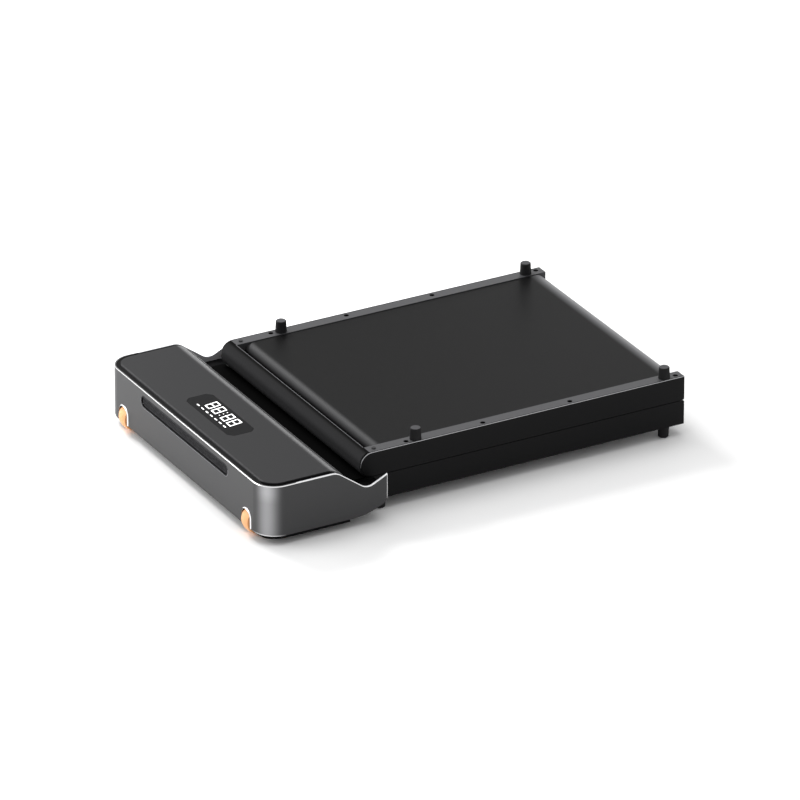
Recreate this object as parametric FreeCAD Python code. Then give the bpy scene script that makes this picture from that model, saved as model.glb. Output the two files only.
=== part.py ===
import FreeCAD, Part
import math
import os

# Folding walking pad, stored folded: the rear half lies upside down on the front half.
# Millimetres. X runs along the pad from the motor cowl (-X) to the fold (+X), Y across it, Z up.
# The origin is on the floor under the middle of the folded pad. Left is -Y.

V = FreeCAD.Vector

# Whole pad, folded
LENGTH = 823.0              # fronts of the transport wheels to the ends of the rails
DECK_WIDTH = 492.0
COWL_OVERHANG = 36.0        # the cowl stands out this far past each side of the deck
HALF_HEIGHT = 43.4          # height of the rails of one half
FOLD_GAP = 1.2              # between the two halves
FOOT_HEIGHT = 20.5
REAR_START = 199.0          # cowl front to the round end of the rear half

# Fits
SLIP = 0.4                  # between covers that are pushed together
RUN = 0.3                   # between a belt or saddle and the round thing in it
BEARING_FIT = 0.05          # radial, shaft in bore
SEAT = 0.1                  # block inside a tube

# Rails and side covers
SIDE_COVER = 3.0
RAIL_WIDTH = 20.0
RAIL_WALL = 2.0
RAIL_START = 82.0           # front rails begin inside the cowl
SIDE_COVER_START = 152.0
RAIL_HOLE_SHARES = (0.147, 0.382, 0.651)    # along the rear half, from its round end
END_HOLE_BACK = 12.0        # last hole from the rail end
RAIL_HOLE_RADIUS = 4.5
RAIL_HOLE_INSET = 10.0       # from the outside of the side cover
SCREW_FROM_RAIL_END = 13.0
SCREW_RADIUS = 3.6
SCREW_HEAD = 1.4
SCREW_SHANK = 1.8

# Feet
FRONT_FOOT_AT = 241.0       # from the cowl front
REAR_FOOT_AT = 109.5        # from the round end of the rear half
FOLD_FOOT_BACK = 33.0       # from the rail ends
FOOT_TIP_RADIUS = 9.0
FOOT_BASE_RADIUS = 10.0
FOOT_CHAMFER = 1.2
FOOT_INSET = 11.5

# Walking belt and rollers
BELT = 1.8
BELT_SIDE_GAP = 1.5
BELT_INSET = 1.0            # belt face below the rail faces
FOLD_INSET = 1.0            # belt fold short of the rail ends
FLAP_GAP = 1.0              # between the belt fold and the ends of the walking runs
DRIVE_ROLLER_AT = 122.0
REAR_ROLLER_AT = 251.0
ROLLER_WALL = 3.0
ROLLER_PLUG = 12.0
AXLE_RADIUS = 6.0
JOURNAL = 1.6               # how far a fold roller's journal enters the rail wall

# Decks
DECK = 12.0
DECK_SIDE_GAP = 8.0
DECK_END_GAP = 5.0
DAMPER = 6.0
DAMPER_RADIUS = 12.0
DAMPER_SHARES = (-0.7, 0.0, 0.7)            # of half the deck's width
MEMBER_WIDTH = 30.0
MEMBER_HEIGHT = 14.0
MEMBER_WALL = 2.0
MEMBER_SHARES = (0.1, 0.5, 0.9)             # along a deck

# Fold hinge: two pivots on each side, joined by a link
PIVOT_DEPTH = 12.0          # from the middle of the fold gap
PIVOT_BACK = 6.2            # from the rail ends
PIN_RADIUS = 4.0
LINK_RADIUS = 6.0
LINK = 4.5
LINK_ROOM = 0.35            # each side of a link and past its end
BLOCK_LENGTH = 40.0
BLOCK_BACK = 0.5            # block face short of the rail end
BLOCK_CORNER = 3.0
CORNER_RUN = 2.9            # the meeting corners are cut off so that they clear each other
CORNER_FALL = 1.3

# Rear end cover
COVER_WALL = 3.0
COVER_LENGTH = 18.0
COVER_CORNER = 17.5
COVER_PLUG_FROM = 8.0
COVER_PLUG_IN = 18.0        # depth of the plugs in the rails
RAIL_TO_COVER = 0.4
BOLT_RADIUS = 3.0
BOLT_HEAD_RADIUS = 5.0
BOLT_HEAD = 6.0
HEAD_POCKET_RADIUS = 5.5

# Cowl
BAND = 3.0
BAND_TOP = 106.8
BAND_BOTTOM = 16.0
BAND_CORNER = 40.0
BAND_BEVEL = 1.1            # bright cut along the top edge
TAIL_AT = 229.6
TAIL_TOP = 83.2
TAIL_LOW = 39.5
CREST_AT = 135.3
CREST_RADIUS = 30.0
VALLEY_AT = 192.3
VALLEY = 65.2
VALLEY_RADIUS = 21.0
BELLY_AT = 188.0
BELLY_RADIUS = 110.0
HEEL_AT = 223.5
HEEL = 30.5
HEEL_RADIUS = 6.0
BEZEL_WIDTH = 7.0
BEZEL_DROP = 0.6            # below the band's edge
BEZEL_DEPTH = 8.0
PANEL = 3.0
PANEL_RISE = 1.7            # above the band's edge
PANEL_EDGE = 3.0
PANEL_DEPTH = 14.0
PANEL_REAR = 152.0
APRON = 2.5
APRON_DROP = 9.0            # under the slope of the band
APRON_END = 206.0           # of the flat lip over the belt
FILLER_START = 155.4
FILLER_TOP = 60.5
FILLER_TAIL_GAP = 2.5
SLOT_HALF = 153.0
SLOT_LOW = 77.0
SLOT_HIGH = 95.0
SLOT_INSET = 2.4
SLOT_PLATE = 3.0
SLOT_FLANGE = 2.6

# Display in the cowl top
DISPLAY_FROM = 43.0
DISPLAY_TO = 92.5
DISPLAY_HALF = 81.0
DISPLAY_CHAMFER = 9.0
WINDOW = 2.5
DISPLAY_BOARD = 9.0
DISPLAY_BOARD_EDGE = 6.0

# Base tray
TRAY = 4.5                  # floor plate, under the band's lower edge
TRAY_EDGE = 0.6             # set in from the band's face
TRAY_CHIN = 10.0            # slant under the front edge
TRAY_LIP = 0.8              # of the front edge that the slant leaves
TRAY_END = 160.0
BOSS_RADIUS = 6.0
TRAY_BOSSES = (102.0, 150.0)

# Transport wheels
WHEEL_RADIUS = 24.0
WHEEL_WIDTH = 22.0
WHEEL_FROM_SIDE = 63.0
WHEEL_OUT = 6.0             # beyond the cowl front
WHEEL_LIFT = 1.0
WHEEL_CROWN = 4.0
WHEEL_AXLE_RADIUS = 4.0
NOTCH_SIDE_GAP = 3.5
NOTCH_TOP = 46.5
NOTCH_CORNER = 13.0
FORK = 2.5
FORK_GAP = 1.0
FORK_FRONT = 8.0
FORK_BACK = 44.0
FORK_FLANGE = 12.0

# Motor and its drive
MOTOR_AT = 60.0
MOTOR_Z = 56.0
MOTOR_RADIUS = 30.0
MOTOR_LENGTH = 120.0
MOTOR_SIDE_GAP = 33.0       # from the inside of the left rail
MOTOR_EDGE = 3.0
MOTOR_WALL = 8.0
MOTOR_END_WALL = 12.0
ARMATURE_GAP = 0.5
ARMATURE_END_GAP = 5.0
SHAFT_RADIUS = 5.0
PULLEY_WIDTH = 12.0
PULLEY_GAP = 3.0            # from the side of the deck to the pulleys
MOTOR_PULLEY_RADIUS = 11.0
DRIVE_PULLEY_RADIUS = 22.0
DRIVE_BELT = 2.5
SADDLE_INSET = 25.0         # from each end of the motor
SADDLE_HALF = 27.0
SADDLE_TOP = 42.0
BEARING_RADIUS = 11.0
BEARING_WIDTH = 10.0

# Electronics
BOARD = 1.6
BOARD_FROM = 30.0
BOARD_TO = 98.0
BOARD_LENGTH = 160.0
BOARD_FROM_MOTOR = 20.0
BOARD_LIFT = 6.0
BOARD_CORNER = 6.0
POST_RADIUS = 3.5
SINK_HEIGHT = 24.0
SINK_BASE = 4.0
SINK_FIN = 2.0
SINK_FINS = 7
SINK_WIDTH = 46.0
SINK_LENGTH = 80.0
INLET_AT = 106.0
SWITCH_AT = 144.0
SOCKET_Z = 46.0
INLET_WIDTH = 28.0
INLET_HEIGHT = 20.0
INLET_DEPTH = 22.0
INLET_WALL = 1.8
INLET_FLANGE = 3.0
INLET_FLANGE_T = 1.5
SOCKET_INSET = 0.3          # socket faces below the band's face
PIN_LENGTH = 14.0
PIN_WIDE = 4.0
PIN_THICK = 2.0
PIN_PITCH = 14.0
PIN_RISE = 4.0
SWITCH_WIDTH = 14.0
SWITCH_HEIGHT = 22.0
SWITCH_DEPTH = 18.0
SWITCH_WALL = 1.5
ROCKER_GAP = 0.6
ROCKER_END_GAP = 2.0
ROCKER_INSET = 2.0          # rocker face below the band's face
ROCKER_DEPTH = 6.0          # pivot behind the rocker's face
ROCKER_TURN = 8.0           # degrees from flat to either side
TRUNNION_RADIUS = 1.5

# Worked out from the sizes above
FRONT = WHEEL_OUT - LENGTH / 2
END = LENGTH / 2
MID_Z = FOOT_HEIGHT + HALF_HEIGHT + FOLD_GAP / 2
LOW = FOOT_HEIGHT
HIGH = FOOT_HEIGHT + HALF_HEIGHT
CENTRE_Z = (LOW + HIGH) / 2
DECK_SIDE = DECK_WIDTH / 2
RAIL_OUT = DECK_SIDE - SIDE_COVER
RAIL_IN = RAIL_OUT - RAIL_WIDTH
RAIL_MID = (RAIL_OUT + RAIL_IN) / 2
BELT_HALF = RAIL_IN - BELT_SIDE_GAP
LOOP_RADIUS = HALF_HEIGHT / 2 - BELT_INSET
LOOP_INSIDE = LOOP_RADIUS - BELT
ROLLER_RADIUS = LOOP_INSIDE - RUN
ROLLER_HALF = RAIL_IN - SLIP
FOLD_FACE = END - FOLD_INSET
FOLD_ROLLER_X = FOLD_FACE - LOOP_RADIUS
FLAP_END = FOLD_FACE - BELT - FLAP_GAP
DRIVE_X = FRONT + DRIVE_ROLLER_AT
REAR_X = FRONT + REAR_ROLLER_AT
DECK_TOP = CENTRE_Z + LOOP_INSIDE - RUN
MEMBER_TOP = DECK_TOP - DECK - DAMPER
PIVOT_X = END - PIVOT_BACK
PIVOT_Z = MID_Z - PIVOT_DEPTH
COWL_SIDE = DECK_SIDE + COWL_OVERHANG
COWL_IN = COWL_SIDE - BAND - SLIP
TRAY_FLOOR = BAND_BOTTOM - TRAY
TRAY_TOP = BAND_BOTTOM
PANEL_TOP = BAND_TOP + PANEL_RISE
REAR_RAIL_START = REAR_START + COVER_LENGTH + RAIL_TO_COVER
PULLEY_Y = -(RAIL_OUT + PULLEY_GAP + PULLEY_WIDTH)
WHEEL_X = FRONT - WHEEL_OUT + WHEEL_RADIUS
WHEEL_Z = WHEEL_LIFT + WHEEL_RADIUS
WHEEL_ACROSS = COWL_SIDE - WHEEL_FROM_SIDE
MOTOR_FROM = MOTOR_SIDE_GAP - RAIL_IN
MOTOR_TO = MOTOR_FROM + MOTOR_LENGTH
SADDLE_FROM = MOTOR_FROM + SADDLE_INSET
SADDLE_TO = MOTOR_TO - SADDLE_INSET
BOARD_LEFT = MOTOR_TO + BOARD_FROM_MOTOR
BOARD_RIGHT = BOARD_LEFT + BOARD_LENGTH
DECK_HALF = RAIL_IN - DECK_SIDE_GAP
DECK_STOP = FOLD_ROLLER_X - LOOP_RADIUS - DECK_END_GAP
FRONT_DECK_START = DRIVE_X + LOOP_RADIUS + DECK_END_GAP
REAR_DECK_START = REAR_X + LOOP_RADIUS + DECK_END_GAP
SLOPE = (BAND_TOP - VALLEY) / (VALLEY_AT - CREST_AT)
THROUGH = 1.0               # how far a cut passes the face it opens


def box(x0, x1, y0, y1, z0, z1):
    """Block between two corners."""
    return Part.makeBox(x1 - x0, y1 - y0, z1 - z0, V(x0, y0, z0))


def rod_x(y, z, radius, x0, x1):
    return Part.makeCylinder(radius, x1 - x0, V(x0, y, z), V(1, 0, 0))


def rod_y(x, z, radius, y0, y1):
    return Part.makeCylinder(radius, y1 - y0, V(x, y0, z), V(0, 1, 0))


def rod_z(x, y, radius, z0, z1):
    return Part.makeCylinder(radius, z1 - z0, V(x, y, z0), V(0, 0, 1))


def rounded_face(corners, place):
    """Flat face with the given corners (u, v, radius), put in space by place(u, v)."""
    count = len(corners)
    spans = []
    for index, (u, v, radius) in enumerate(corners):
        here = place(u, v)
        if radius <= 0:
            spans.append((here, None, here))
            continue
        before = (place(*corners[index - 1][:2]) - here).normalize()
        after = (place(*corners[(index + 1) % count][:2]) - here).normalize()
        half = before.getAngle(after) / 2
        middle = (before + after).normalize()
        reach = radius / math.tan(half)
        top = here + middle * (radius / math.sin(half) - radius)
        spans.append((here + before * reach, top, here + after * reach))
    edges = []
    for index, (start, top, end) in enumerate(spans):
        if top is not None:
            edges.append(Part.Arc(start, top, end).toShape())
        following = spans[(index + 1) % count][0]
        if end.distanceToPoint(following) > 1e-6:
            edges.append(Part.LineSegment(end, following).toShape())
    return Part.Face(Part.Wire(edges))


def side_plate(corners, y0, y1):
    """Plate of the given X-Z outline, between two Y planes."""
    face = rounded_face(corners, lambda x, z: V(x, y0, z))
    return face.extrude(V(0, y1 - y0, 0))


def front_plate(corners, x0, x1):
    """Plate of the given Y-Z outline, between two X planes."""
    face = rounded_face(corners, lambda y, z: V(x0, y, z))
    return face.extrude(V(x1 - x0, 0, 0))


def floor_plate(corners, z0, z1):
    """Plate of the given X-Y outline, between two Z planes."""
    face = rounded_face(corners, lambda x, y: V(x, y, z0))
    return face.extrude(V(0, 0, z1 - z0))


def mirrored(shape):
    """The same piece on the other side of the pad."""
    return shape.mirror(V(0, 0, 0), V(0, 1, 0))


def turned_over(shape):
    """A piece of the front half as it lies on the folded rear half."""
    return shape.mirror(V(0, 0, MID_Z), V(0, 0, 1))


def group(shapes):
    """Several like pieces in one node."""
    solids = [solid for shape in shapes for solid in shape.Solids]
    return Part.makeCompound(solids)


def cowl_plan(front, half, corner, rear):
    """Corners of the cowl seen from above."""
    return [(rear, -half, 0), (front, -half, corner), (front, half, corner), (rear, half, 0)]


def cowl_block(inset, rear, z0, z1):
    """The space inside the cowl at this distance from its outer face."""
    return floor_plate(cowl_plan(FRONT + inset, COWL_SIDE - inset, BAND_CORNER - inset, rear), z0, z1)


def capsule(half, low, high, x0, x1):
    """Long slot with round ends, cut along X."""
    end = (high - low) / 2
    corners = [(-half, low, end), (half, low, end), (half, high, end), (-half, high, end)]
    return front_plate(corners, x0, x1)


def cowl_band():
    """Anodised band round the front and the sides, down to the two tails."""
    tall = HALF_HEIGHT
    rear = FRONT + TAIL_AT
    low = BAND_BOTTOM - tall
    high = BAND_TOP + tall
    shell = cowl_block(0, rear, low, high)
    shell = shell.cut(cowl_block(BAND, rear + THROUGH, low - THROUGH, high + THROUGH))
    outline = [
        (FRONT - tall, BAND_BOTTOM, 0),
        (FRONT + BELLY_AT, BAND_BOTTOM, BELLY_RADIUS),
        (FRONT + HEEL_AT, HEEL, HEEL_RADIUS),
        (rear, TAIL_LOW, 0),
        (rear, TAIL_TOP, 0),
        (FRONT + VALLEY_AT, VALLEY, VALLEY_RADIUS),
        (FRONT + CREST_AT, BAND_TOP, CREST_RADIUS),
        (FRONT - tall, BAND_TOP, 0),
    ]
    band = shell.common(side_plate(outline, -COWL_SIDE, COWL_SIDE)).removeSplitter()
    band = band.makeChamfer(BAND_BEVEL, top_edges(band))
    band = band.cut(capsule(SLOT_HALF, SLOT_LOW, SLOT_HIGH, FRONT - tall, FRONT + BAND_CORNER))
    for side in (-1, 1):
        band = band.cut(wheel_notch(side, FRONT - tall, FRONT + FORK_FRONT))
    band = band.cut(socket_hole(INLET_AT, INLET_WIDTH, INLET_HEIGHT))
    return band.cut(socket_hole(SWITCH_AT, SWITCH_WIDTH, SWITCH_HEIGHT))


def top_edges(band):
    """Outer edges along the top of the band, from the tip of one tail to the other."""
    found = []
    for edge in band.Edges:
        p = edge.valueAt((edge.FirstParameter + edge.LastParameter) / 2)
        from_side = COWL_SIDE - abs(p.y)
        corner = math.hypot(BAND_CORNER - p.x + FRONT, BAND_CORNER - from_side)
        in_corner = max(p.x - FRONT, from_side) < BAND_CORNER
        depth = BAND_CORNER - corner if in_corner else min(p.x - FRONT, from_side)
        if depth < SEAT and p.z > VALLEY:
            found.append(edge)
    return found


def wheel_notch(side, x0, x1):
    """Arched opening that a transport wheel shows through."""
    half = WHEEL_WIDTH / 2 + NOTCH_SIDE_GAP
    middle = side * WHEEL_ACROSS
    corners = [
        (middle - half, -THROUGH, 0),
        (middle + half, -THROUGH, 0),
        (middle + half, NOTCH_TOP, NOTCH_CORNER),
        (middle - half, NOTCH_TOP, NOTCH_CORNER),
    ]
    return front_plate(corners, x0, x1)


def socket_hole(at, width, height):
    """Rectangular hole in the right side of the band."""
    x = FRONT + at
    y0 = COWL_SIDE - BAND - THROUGH
    y1 = COWL_SIDE + THROUGH
    half = height / 2 + SEAT
    return box(x - width / 2 - SEAT, x + width / 2 + SEAT, y0, y1, SOCKET_Z - half, SOCKET_Z + half)


def slot_insert():
    """Dark plate that fills the long slot in the front face, from behind."""
    behind = FRONT + BAND + SLIP
    back = behind + SLOT_PLATE
    plug = capsule(SLOT_HALF - SLIP, SLOT_LOW + SLIP, SLOT_HIGH - SLIP, FRONT + SLOT_INSET, back)
    low = SLOT_LOW - SLOT_FLANGE
    high = SLOT_HIGH + SLOT_FLANGE
    flange = capsule(SLOT_HALF + SLOT_FLANGE, low, high, behind, back)
    return plug.fuse(flange).removeSplitter()


def slope_strip(rear, drop, depth):
    """Side outline that follows the band's top edge back to the slope, this far below it."""
    top = BAND_TOP - drop
    crest = FRONT + CREST_AT
    fall = SLOPE * (rear - crest)
    front = FRONT - HALF_HEIGHT
    return [
        (front, top - depth, 0), (crest, top - depth, CREST_RADIUS), (rear, top - depth - fall, 0),
        (rear, top - fall, 0), (crest, top, CREST_RADIUS), (front, top, 0),
    ]


def cowl_bezel():
    """Gloss black frame between the band and the cowl top."""
    inset = BAND + SLIP
    rear = FRONT + PANEL_REAR
    ring = cowl_block(inset, rear, BAND_BOTTOM, BAND_TOP)
    low = BAND_BOTTOM - THROUGH
    ring = ring.cut(cowl_block(inset + BEZEL_WIDTH, rear + THROUGH, low, BAND_TOP + THROUGH))
    return ring.common(side_plate(slope_strip(rear, BEZEL_DROP, BEZEL_DEPTH), -COWL_SIDE, COWL_SIDE))


def panel_side(inset):
    """Corners of the cowl top seen from the side, this far inside its skin."""
    front = FRONT + BAND + BEZEL_WIDTH + 2 * SLIP + inset
    top = PANEL_TOP - inset
    bottom = BAND_TOP - PANEL_DEPTH - (THROUGH if inset else 0)
    rear = FRONT + PANEL_REAR
    crest = FRONT + CREST_AT - (PANEL_RISE - inset) / SLOPE
    return [
        (front, bottom, 0),
        (front, top, max(PANEL_EDGE - inset, 0)),
        (crest, top, CREST_RADIUS - inset),
        (rear, top - SLOPE * (rear - crest), 0),
        (rear, bottom, 0),
    ]


def display_corners(grow):
    """Corners of the long eight-sided display window."""
    x0 = FRONT + DISPLAY_FROM - grow
    x1 = FRONT + DISPLAY_TO + grow
    y = DISPLAY_HALF + grow
    cut = DISPLAY_CHAMFER
    return [
        (x0 + cut, -y, 0), (x1 - cut, -y, 0), (x1, -y + cut, 0), (x1, y - cut, 0),
        (x1 - cut, y, 0), (x0 + cut, y, 0), (x0, y - cut, 0), (x0, -y + cut, 0),
    ]


def cowl_top():
    """Satin lid of the cowl, rolling down at its rear edge."""
    inset = BAND + BEZEL_WIDTH + 2 * SLIP
    rear = FRONT + PANEL_REAR
    low = BAND_BOTTOM
    high = PANEL_TOP + THROUGH
    lid = side_plate(panel_side(0), -COWL_SIDE, COWL_SIDE)
    lid = lid.common(cowl_block(inset, rear, low, high))
    hollow = side_plate(panel_side(PANEL), -COWL_SIDE, COWL_SIDE)
    hollow = hollow.common(cowl_block(inset + PANEL, rear - PANEL, low, high))
    lid = lid.cut(hollow)
    return lid.cut(floor_plate(display_corners(SLIP), PANEL_TOP - PANEL - THROUGH, PANEL_TOP + THROUGH))


def display_window():
    return floor_plate(display_corners(0), PANEL_TOP - WINDOW, PANEL_TOP)


def display_board():
    """Digit module and its board, against the back of the window."""
    top = PANEL_TOP - PANEL - SEAT
    plate = floor_plate(display_corners(DISPLAY_BOARD_EDGE), top - DISPLAY_BOARD, top)
    lens = floor_plate(display_corners(-DISPLAY_BOARD_EDGE), top - SEAT, PANEL_TOP - WINDOW)
    return plate.fuse(lens).removeSplitter()


def rear_apron():
    """Black cover: a riser behind the cowl top, and between the tails a slope down to the belt."""
    start = FRONT + PANEL_REAR + SLIP
    step = start + APRON
    end = FRONT + APRON_END
    crest = FRONT + CREST_AT
    top = BAND_TOP - APRON_DROP
    high = top - SLOPE * (step - crest)
    low = HIGH + SLIP + APRON
    knee = crest + (top - low) / SLOPE
    edge = BAND_TOP - SLIP + SLOPE * crest
    foot = FILLER_TOP + SLIP
    riser = [
        (start, foot, 0), (step, foot, 0), (step, edge - SLOPE * step, 0), (start, edge - SLOPE * start, 0),
    ]
    slope = [
        (start, high - APRON, 0), (step, high - APRON, 0), (knee, low - APRON, 0), (end, low - APRON, 0),
        (end, low, 0), (knee, low, 0), (step, high, 0), (start, high, 0),
    ]
    beside = DECK_SIDE + SLIP
    wall = side_plate(riser, -COWL_IN, COWL_IN)
    wall = wall.cut(box(start - THROUGH, step + THROUGH, -beside, beside, foot - THROUGH, HIGH + SLIP))
    return wall.fuse(side_plate(slope, -DECK_SIDE, DECK_SIDE)).removeSplitter()


def tail_filler():
    """Left shoulder piece between a tail of the band and the deck."""
    end = FRONT + TAIL_AT - FILLER_TAIL_GAP
    corners = [
        (FRONT + FILLER_START, BAND_BOTTOM + BAND, 0),
        (FRONT + BELLY_AT, BAND_BOTTOM + 2 * BAND, BELLY_RADIUS / 2),
        (FRONT + HEEL_AT - BAND, HEEL + BAND, 0),
        (end, TAIL_LOW, 0),
        (end, FILLER_TOP, BAND),
        (FRONT + FILLER_START, FILLER_TOP, 0),
    ]
    return side_plate(corners, -COWL_IN, -DECK_SIDE - SLIP)


def base_tray():
    """Floor of the cowl, slanted under its front edge, with bosses for the rails and the board."""
    rear = FRONT + TRAY_END
    tray = cowl_block(TRAY_EDGE, rear, TRAY_FLOOR, TRAY_TOP)
    bosses = []
    for at in TRAY_BOSSES:
        for side in (-1, 1):
            bosses.append(rod_z(FRONT + at, side * RAIL_MID, BOSS_RADIUS, TRAY_FLOOR, LOW))
    for x in (BOARD_FROM + BOARD_CORNER, BOARD_TO - BOARD_CORNER):
        for y in (BOARD_LEFT + BOARD_CORNER, BOARD_RIGHT - BOARD_CORNER):
            bosses.append(rod_z(FRONT + x, y, POST_RADIUS, TRAY_FLOOR, TRAY_TOP + BOARD_LIFT))
    tray = tray.multiFuse(bosses).removeSplitter()
    half = WHEEL_WIDTH / 2 + NOTCH_SIDE_GAP
    for side in (-1, 1):
        y = side * WHEEL_ACROSS
        x1 = WHEEL_X + WHEEL_RADIUS + NOTCH_SIDE_GAP
        tray = tray.cut(box(FRONT, x1, y - half, y + half, TRAY_FLOOR - THROUGH, TRAY_TOP + THROUGH))
    under = TRAY_FLOOR - THROUGH
    slant = [(FRONT, TRAY_TOP - TRAY_LIP, 0), (FRONT, under, 0), (FRONT + TRAY_CHIN, under, 0)]
    return tray.cut(side_plate(slant, -COWL_SIDE, COWL_SIDE))


def wheel_fork(side):
    """Bracket that straddles a wheel and stands on the tray."""
    y = side * WHEEL_ACROSS
    inner = WHEEL_WIDTH / 2 + FORK_GAP
    stand = WHEEL_WIDTH / 2 + NOTCH_SIDE_GAP
    outer = inner + FORK
    x0 = FRONT + FORK_FRONT
    x1 = FRONT + FORK_BACK
    top = WHEEL_Z + WHEEL_RADIUS + FORK_GAP
    fork = box(x0, x1, y - outer, y + outer, WHEEL_Z - WHEEL_AXLE_RADIUS * 2, top + FORK)
    fork = fork.cut(box(x0 - THROUGH, x1 + THROUGH, y - inner, y + inner, 0, top))
    for edge in (-1, 1):
        y0 = y + edge * stand
        y1 = y + edge * (stand + FORK_FLANGE)
        y2 = y + edge * inner
        foot = box(x0, x1, min(y0, y1), max(y0, y1), TRAY_TOP, TRAY_TOP + FORK)
        leg = box(x0, x1, min(y2, y0), max(y2, y0) + FORK, TRAY_TOP, top)
        if edge < 0:
            leg = box(x0, x1, y0 - FORK, y2, TRAY_TOP, top)
        fork = fork.multiFuse([foot, leg])
    fork = fork.cut(rod_y(WHEEL_X, WHEEL_Z, WHEEL_AXLE_RADIUS + SEAT, y - 2 * outer, y + 2 * outer))
    return fork.removeSplitter()


def wheel_axle(side):
    y = side * WHEEL_ACROSS
    reach = WHEEL_WIDTH / 2 + NOTCH_SIDE_GAP + FORK
    return rod_y(WHEEL_X, WHEEL_Z, WHEEL_AXLE_RADIUS, y - reach, y + reach)


def wheel(side):
    """Transport wheel with a crowned tread."""
    half = WHEEL_WIDTH / 2
    edge = WHEEL_RADIUS - WHEEL_CROWN / 2
    bore = WHEEL_AXLE_RADIUS + BEARING_FIT
    start = V(0, -half, bore)
    points = [V(0, -half, edge), V(0, half, edge), V(0, half, bore)]
    edges = [
        Part.LineSegment(start, points[0]).toShape(),
        Part.Arc(points[0], V(0, 0, WHEEL_RADIUS), points[1]).toShape(),
        Part.LineSegment(points[1], points[2]).toShape(),
        Part.LineSegment(points[2], start).toShape(),
    ]
    solid = Part.Face(Part.Wire(edges)).revolve(V(0, 0, 0), V(0, 1, 0), 360)
    solid.translate(V(WHEEL_X, side * WHEEL_ACROSS, WHEEL_Z))
    return solid


def motor_can():
    """Motor housing, hollow for the armature, with rounded rims and a bore for its shaft."""
    x = FRONT + MOTOR_AT
    can = rod_y(x, MOTOR_Z, MOTOR_RADIUS, MOTOR_FROM, MOTOR_TO)
    rims = [edge for edge in can.Edges if isinstance(edge.Curve, Part.Circle)]
    can = can.makeFillet(MOTOR_EDGE, rims)
    y0 = MOTOR_FROM + MOTOR_END_WALL
    y1 = MOTOR_TO - MOTOR_END_WALL
    can = can.cut(rod_y(x, MOTOR_Z, MOTOR_RADIUS - MOTOR_WALL, y0, y1))
    bore = SHAFT_RADIUS + BEARING_FIT
    return can.cut(rod_y(x, MOTOR_Z, bore, MOTOR_FROM - THROUGH, MOTOR_TO + THROUGH))


def motor_bracket():
    """Saddle on the tray that the motor lies in."""
    x = FRONT + MOTOR_AT
    block = box(x - SADDLE_HALF, x + SADDLE_HALF, SADDLE_FROM, SADDLE_TO, TRAY_TOP, SADDLE_TOP)
    return block.cut(rod_y(x, MOTOR_Z, MOTOR_RADIUS + RUN, SADDLE_FROM - THROUGH, SADDLE_TO + THROUGH))


def motor_shaft():
    """Shaft with the armature that turns inside the housing."""
    x = FRONT + MOTOR_AT
    inset = MOTOR_END_WALL + ARMATURE_END_GAP
    radius = MOTOR_RADIUS - MOTOR_WALL - ARMATURE_GAP
    armature = rod_y(x, MOTOR_Z, radius, MOTOR_FROM + inset, MOTOR_TO - inset)
    return rod_y(x, MOTOR_Z, SHAFT_RADIUS, PULLEY_Y, MOTOR_TO).fuse(armature).removeSplitter()


def pulley(x, z, radius, bore):
    """Grooved pulley on the left end of a shaft."""
    wheel_body = rod_y(x, z, radius, PULLEY_Y, PULLEY_Y + PULLEY_WIDTH)
    return wheel_body.cut(rod_y(x, z, bore, PULLEY_Y - THROUGH, PULLEY_Y + PULLEY_WIDTH + THROUGH))


def drive_belt():
    """Ribbed belt from the motor pulley to the drive roller, as its two rounds and two runs."""
    x0, z0, r0 = FRONT + MOTOR_AT, MOTOR_Z, MOTOR_PULLEY_RADIUS + RUN
    x1, z1, r1 = DRIVE_X, CENTRE_Z, DRIVE_PULLEY_RADIUS + RUN

    def loop(extra):
        a = r0 + extra
        b = r1 + extra
        span = math.hypot(x1 - x0, z1 - z0)
        along = math.atan2(z1 - z0, x1 - x0)
        lift = math.acos((a - b) / span)
        ends = []
        for turn in (along + lift, along - lift):
            ends.append(V(x0 + a * math.cos(turn), PULLEY_Y, z0 + a * math.sin(turn)))
            ends.append(V(x1 + b * math.cos(turn), PULLEY_Y, z1 + b * math.sin(turn)))
        back = V(x0 - a * math.cos(along), PULLEY_Y, z0 - a * math.sin(along))
        front = V(x1 + b * math.cos(along), PULLEY_Y, z1 + b * math.sin(along))
        wire = Part.Wire([
            Part.LineSegment(ends[0], ends[1]).toShape(),
            Part.Arc(ends[1], front, ends[3]).toShape(),
            Part.LineSegment(ends[3], ends[2]).toShape(),
            Part.Arc(ends[2], back, ends[0]).toShape(),
        ])
        return Part.Face(wire).extrude(V(0, PULLEY_WIDTH, 0))

    return loop(DRIVE_BELT).cut(loop(0))


def drive_roller():
    """Steel tube with a plug at each end, fixed on the drive axle."""
    tube = rod_y(DRIVE_X, CENTRE_Z, ROLLER_RADIUS, -ROLLER_HALF, ROLLER_HALF)
    inside = ROLLER_HALF - ROLLER_PLUG
    tube = tube.cut(rod_y(DRIVE_X, CENTRE_Z, ROLLER_RADIUS - ROLLER_WALL, -inside, inside))
    return tube.cut(rod_y(DRIVE_X, CENTRE_Z, AXLE_RADIUS, -RAIL_OUT, RAIL_OUT))


def drive_axle():
    return rod_y(DRIVE_X, CENTRE_Z, AXLE_RADIUS, PULLEY_Y, RAIL_IN + BEARING_WIDTH)


def ring_y(x, z, outer, inner, y0, y1):
    return rod_y(x, z, outer, y0, y1).cut(rod_y(x, z, inner, y0 - THROUGH, y1 + THROUGH))


def drive_bearings():
    bore = AXLE_RADIUS + BEARING_FIT
    right = ring_y(DRIVE_X, CENTRE_Z, BEARING_RADIUS, bore, RAIL_IN, RAIL_IN + BEARING_WIDTH)
    return group([right, mirrored(right)])


def meeting_corner():
    """The corner of a front rail that meets the other half's, cut off."""
    return [(END, HIGH - CORNER_FALL, 0), (END - CORNER_RUN, HIGH, 0)]


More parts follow.
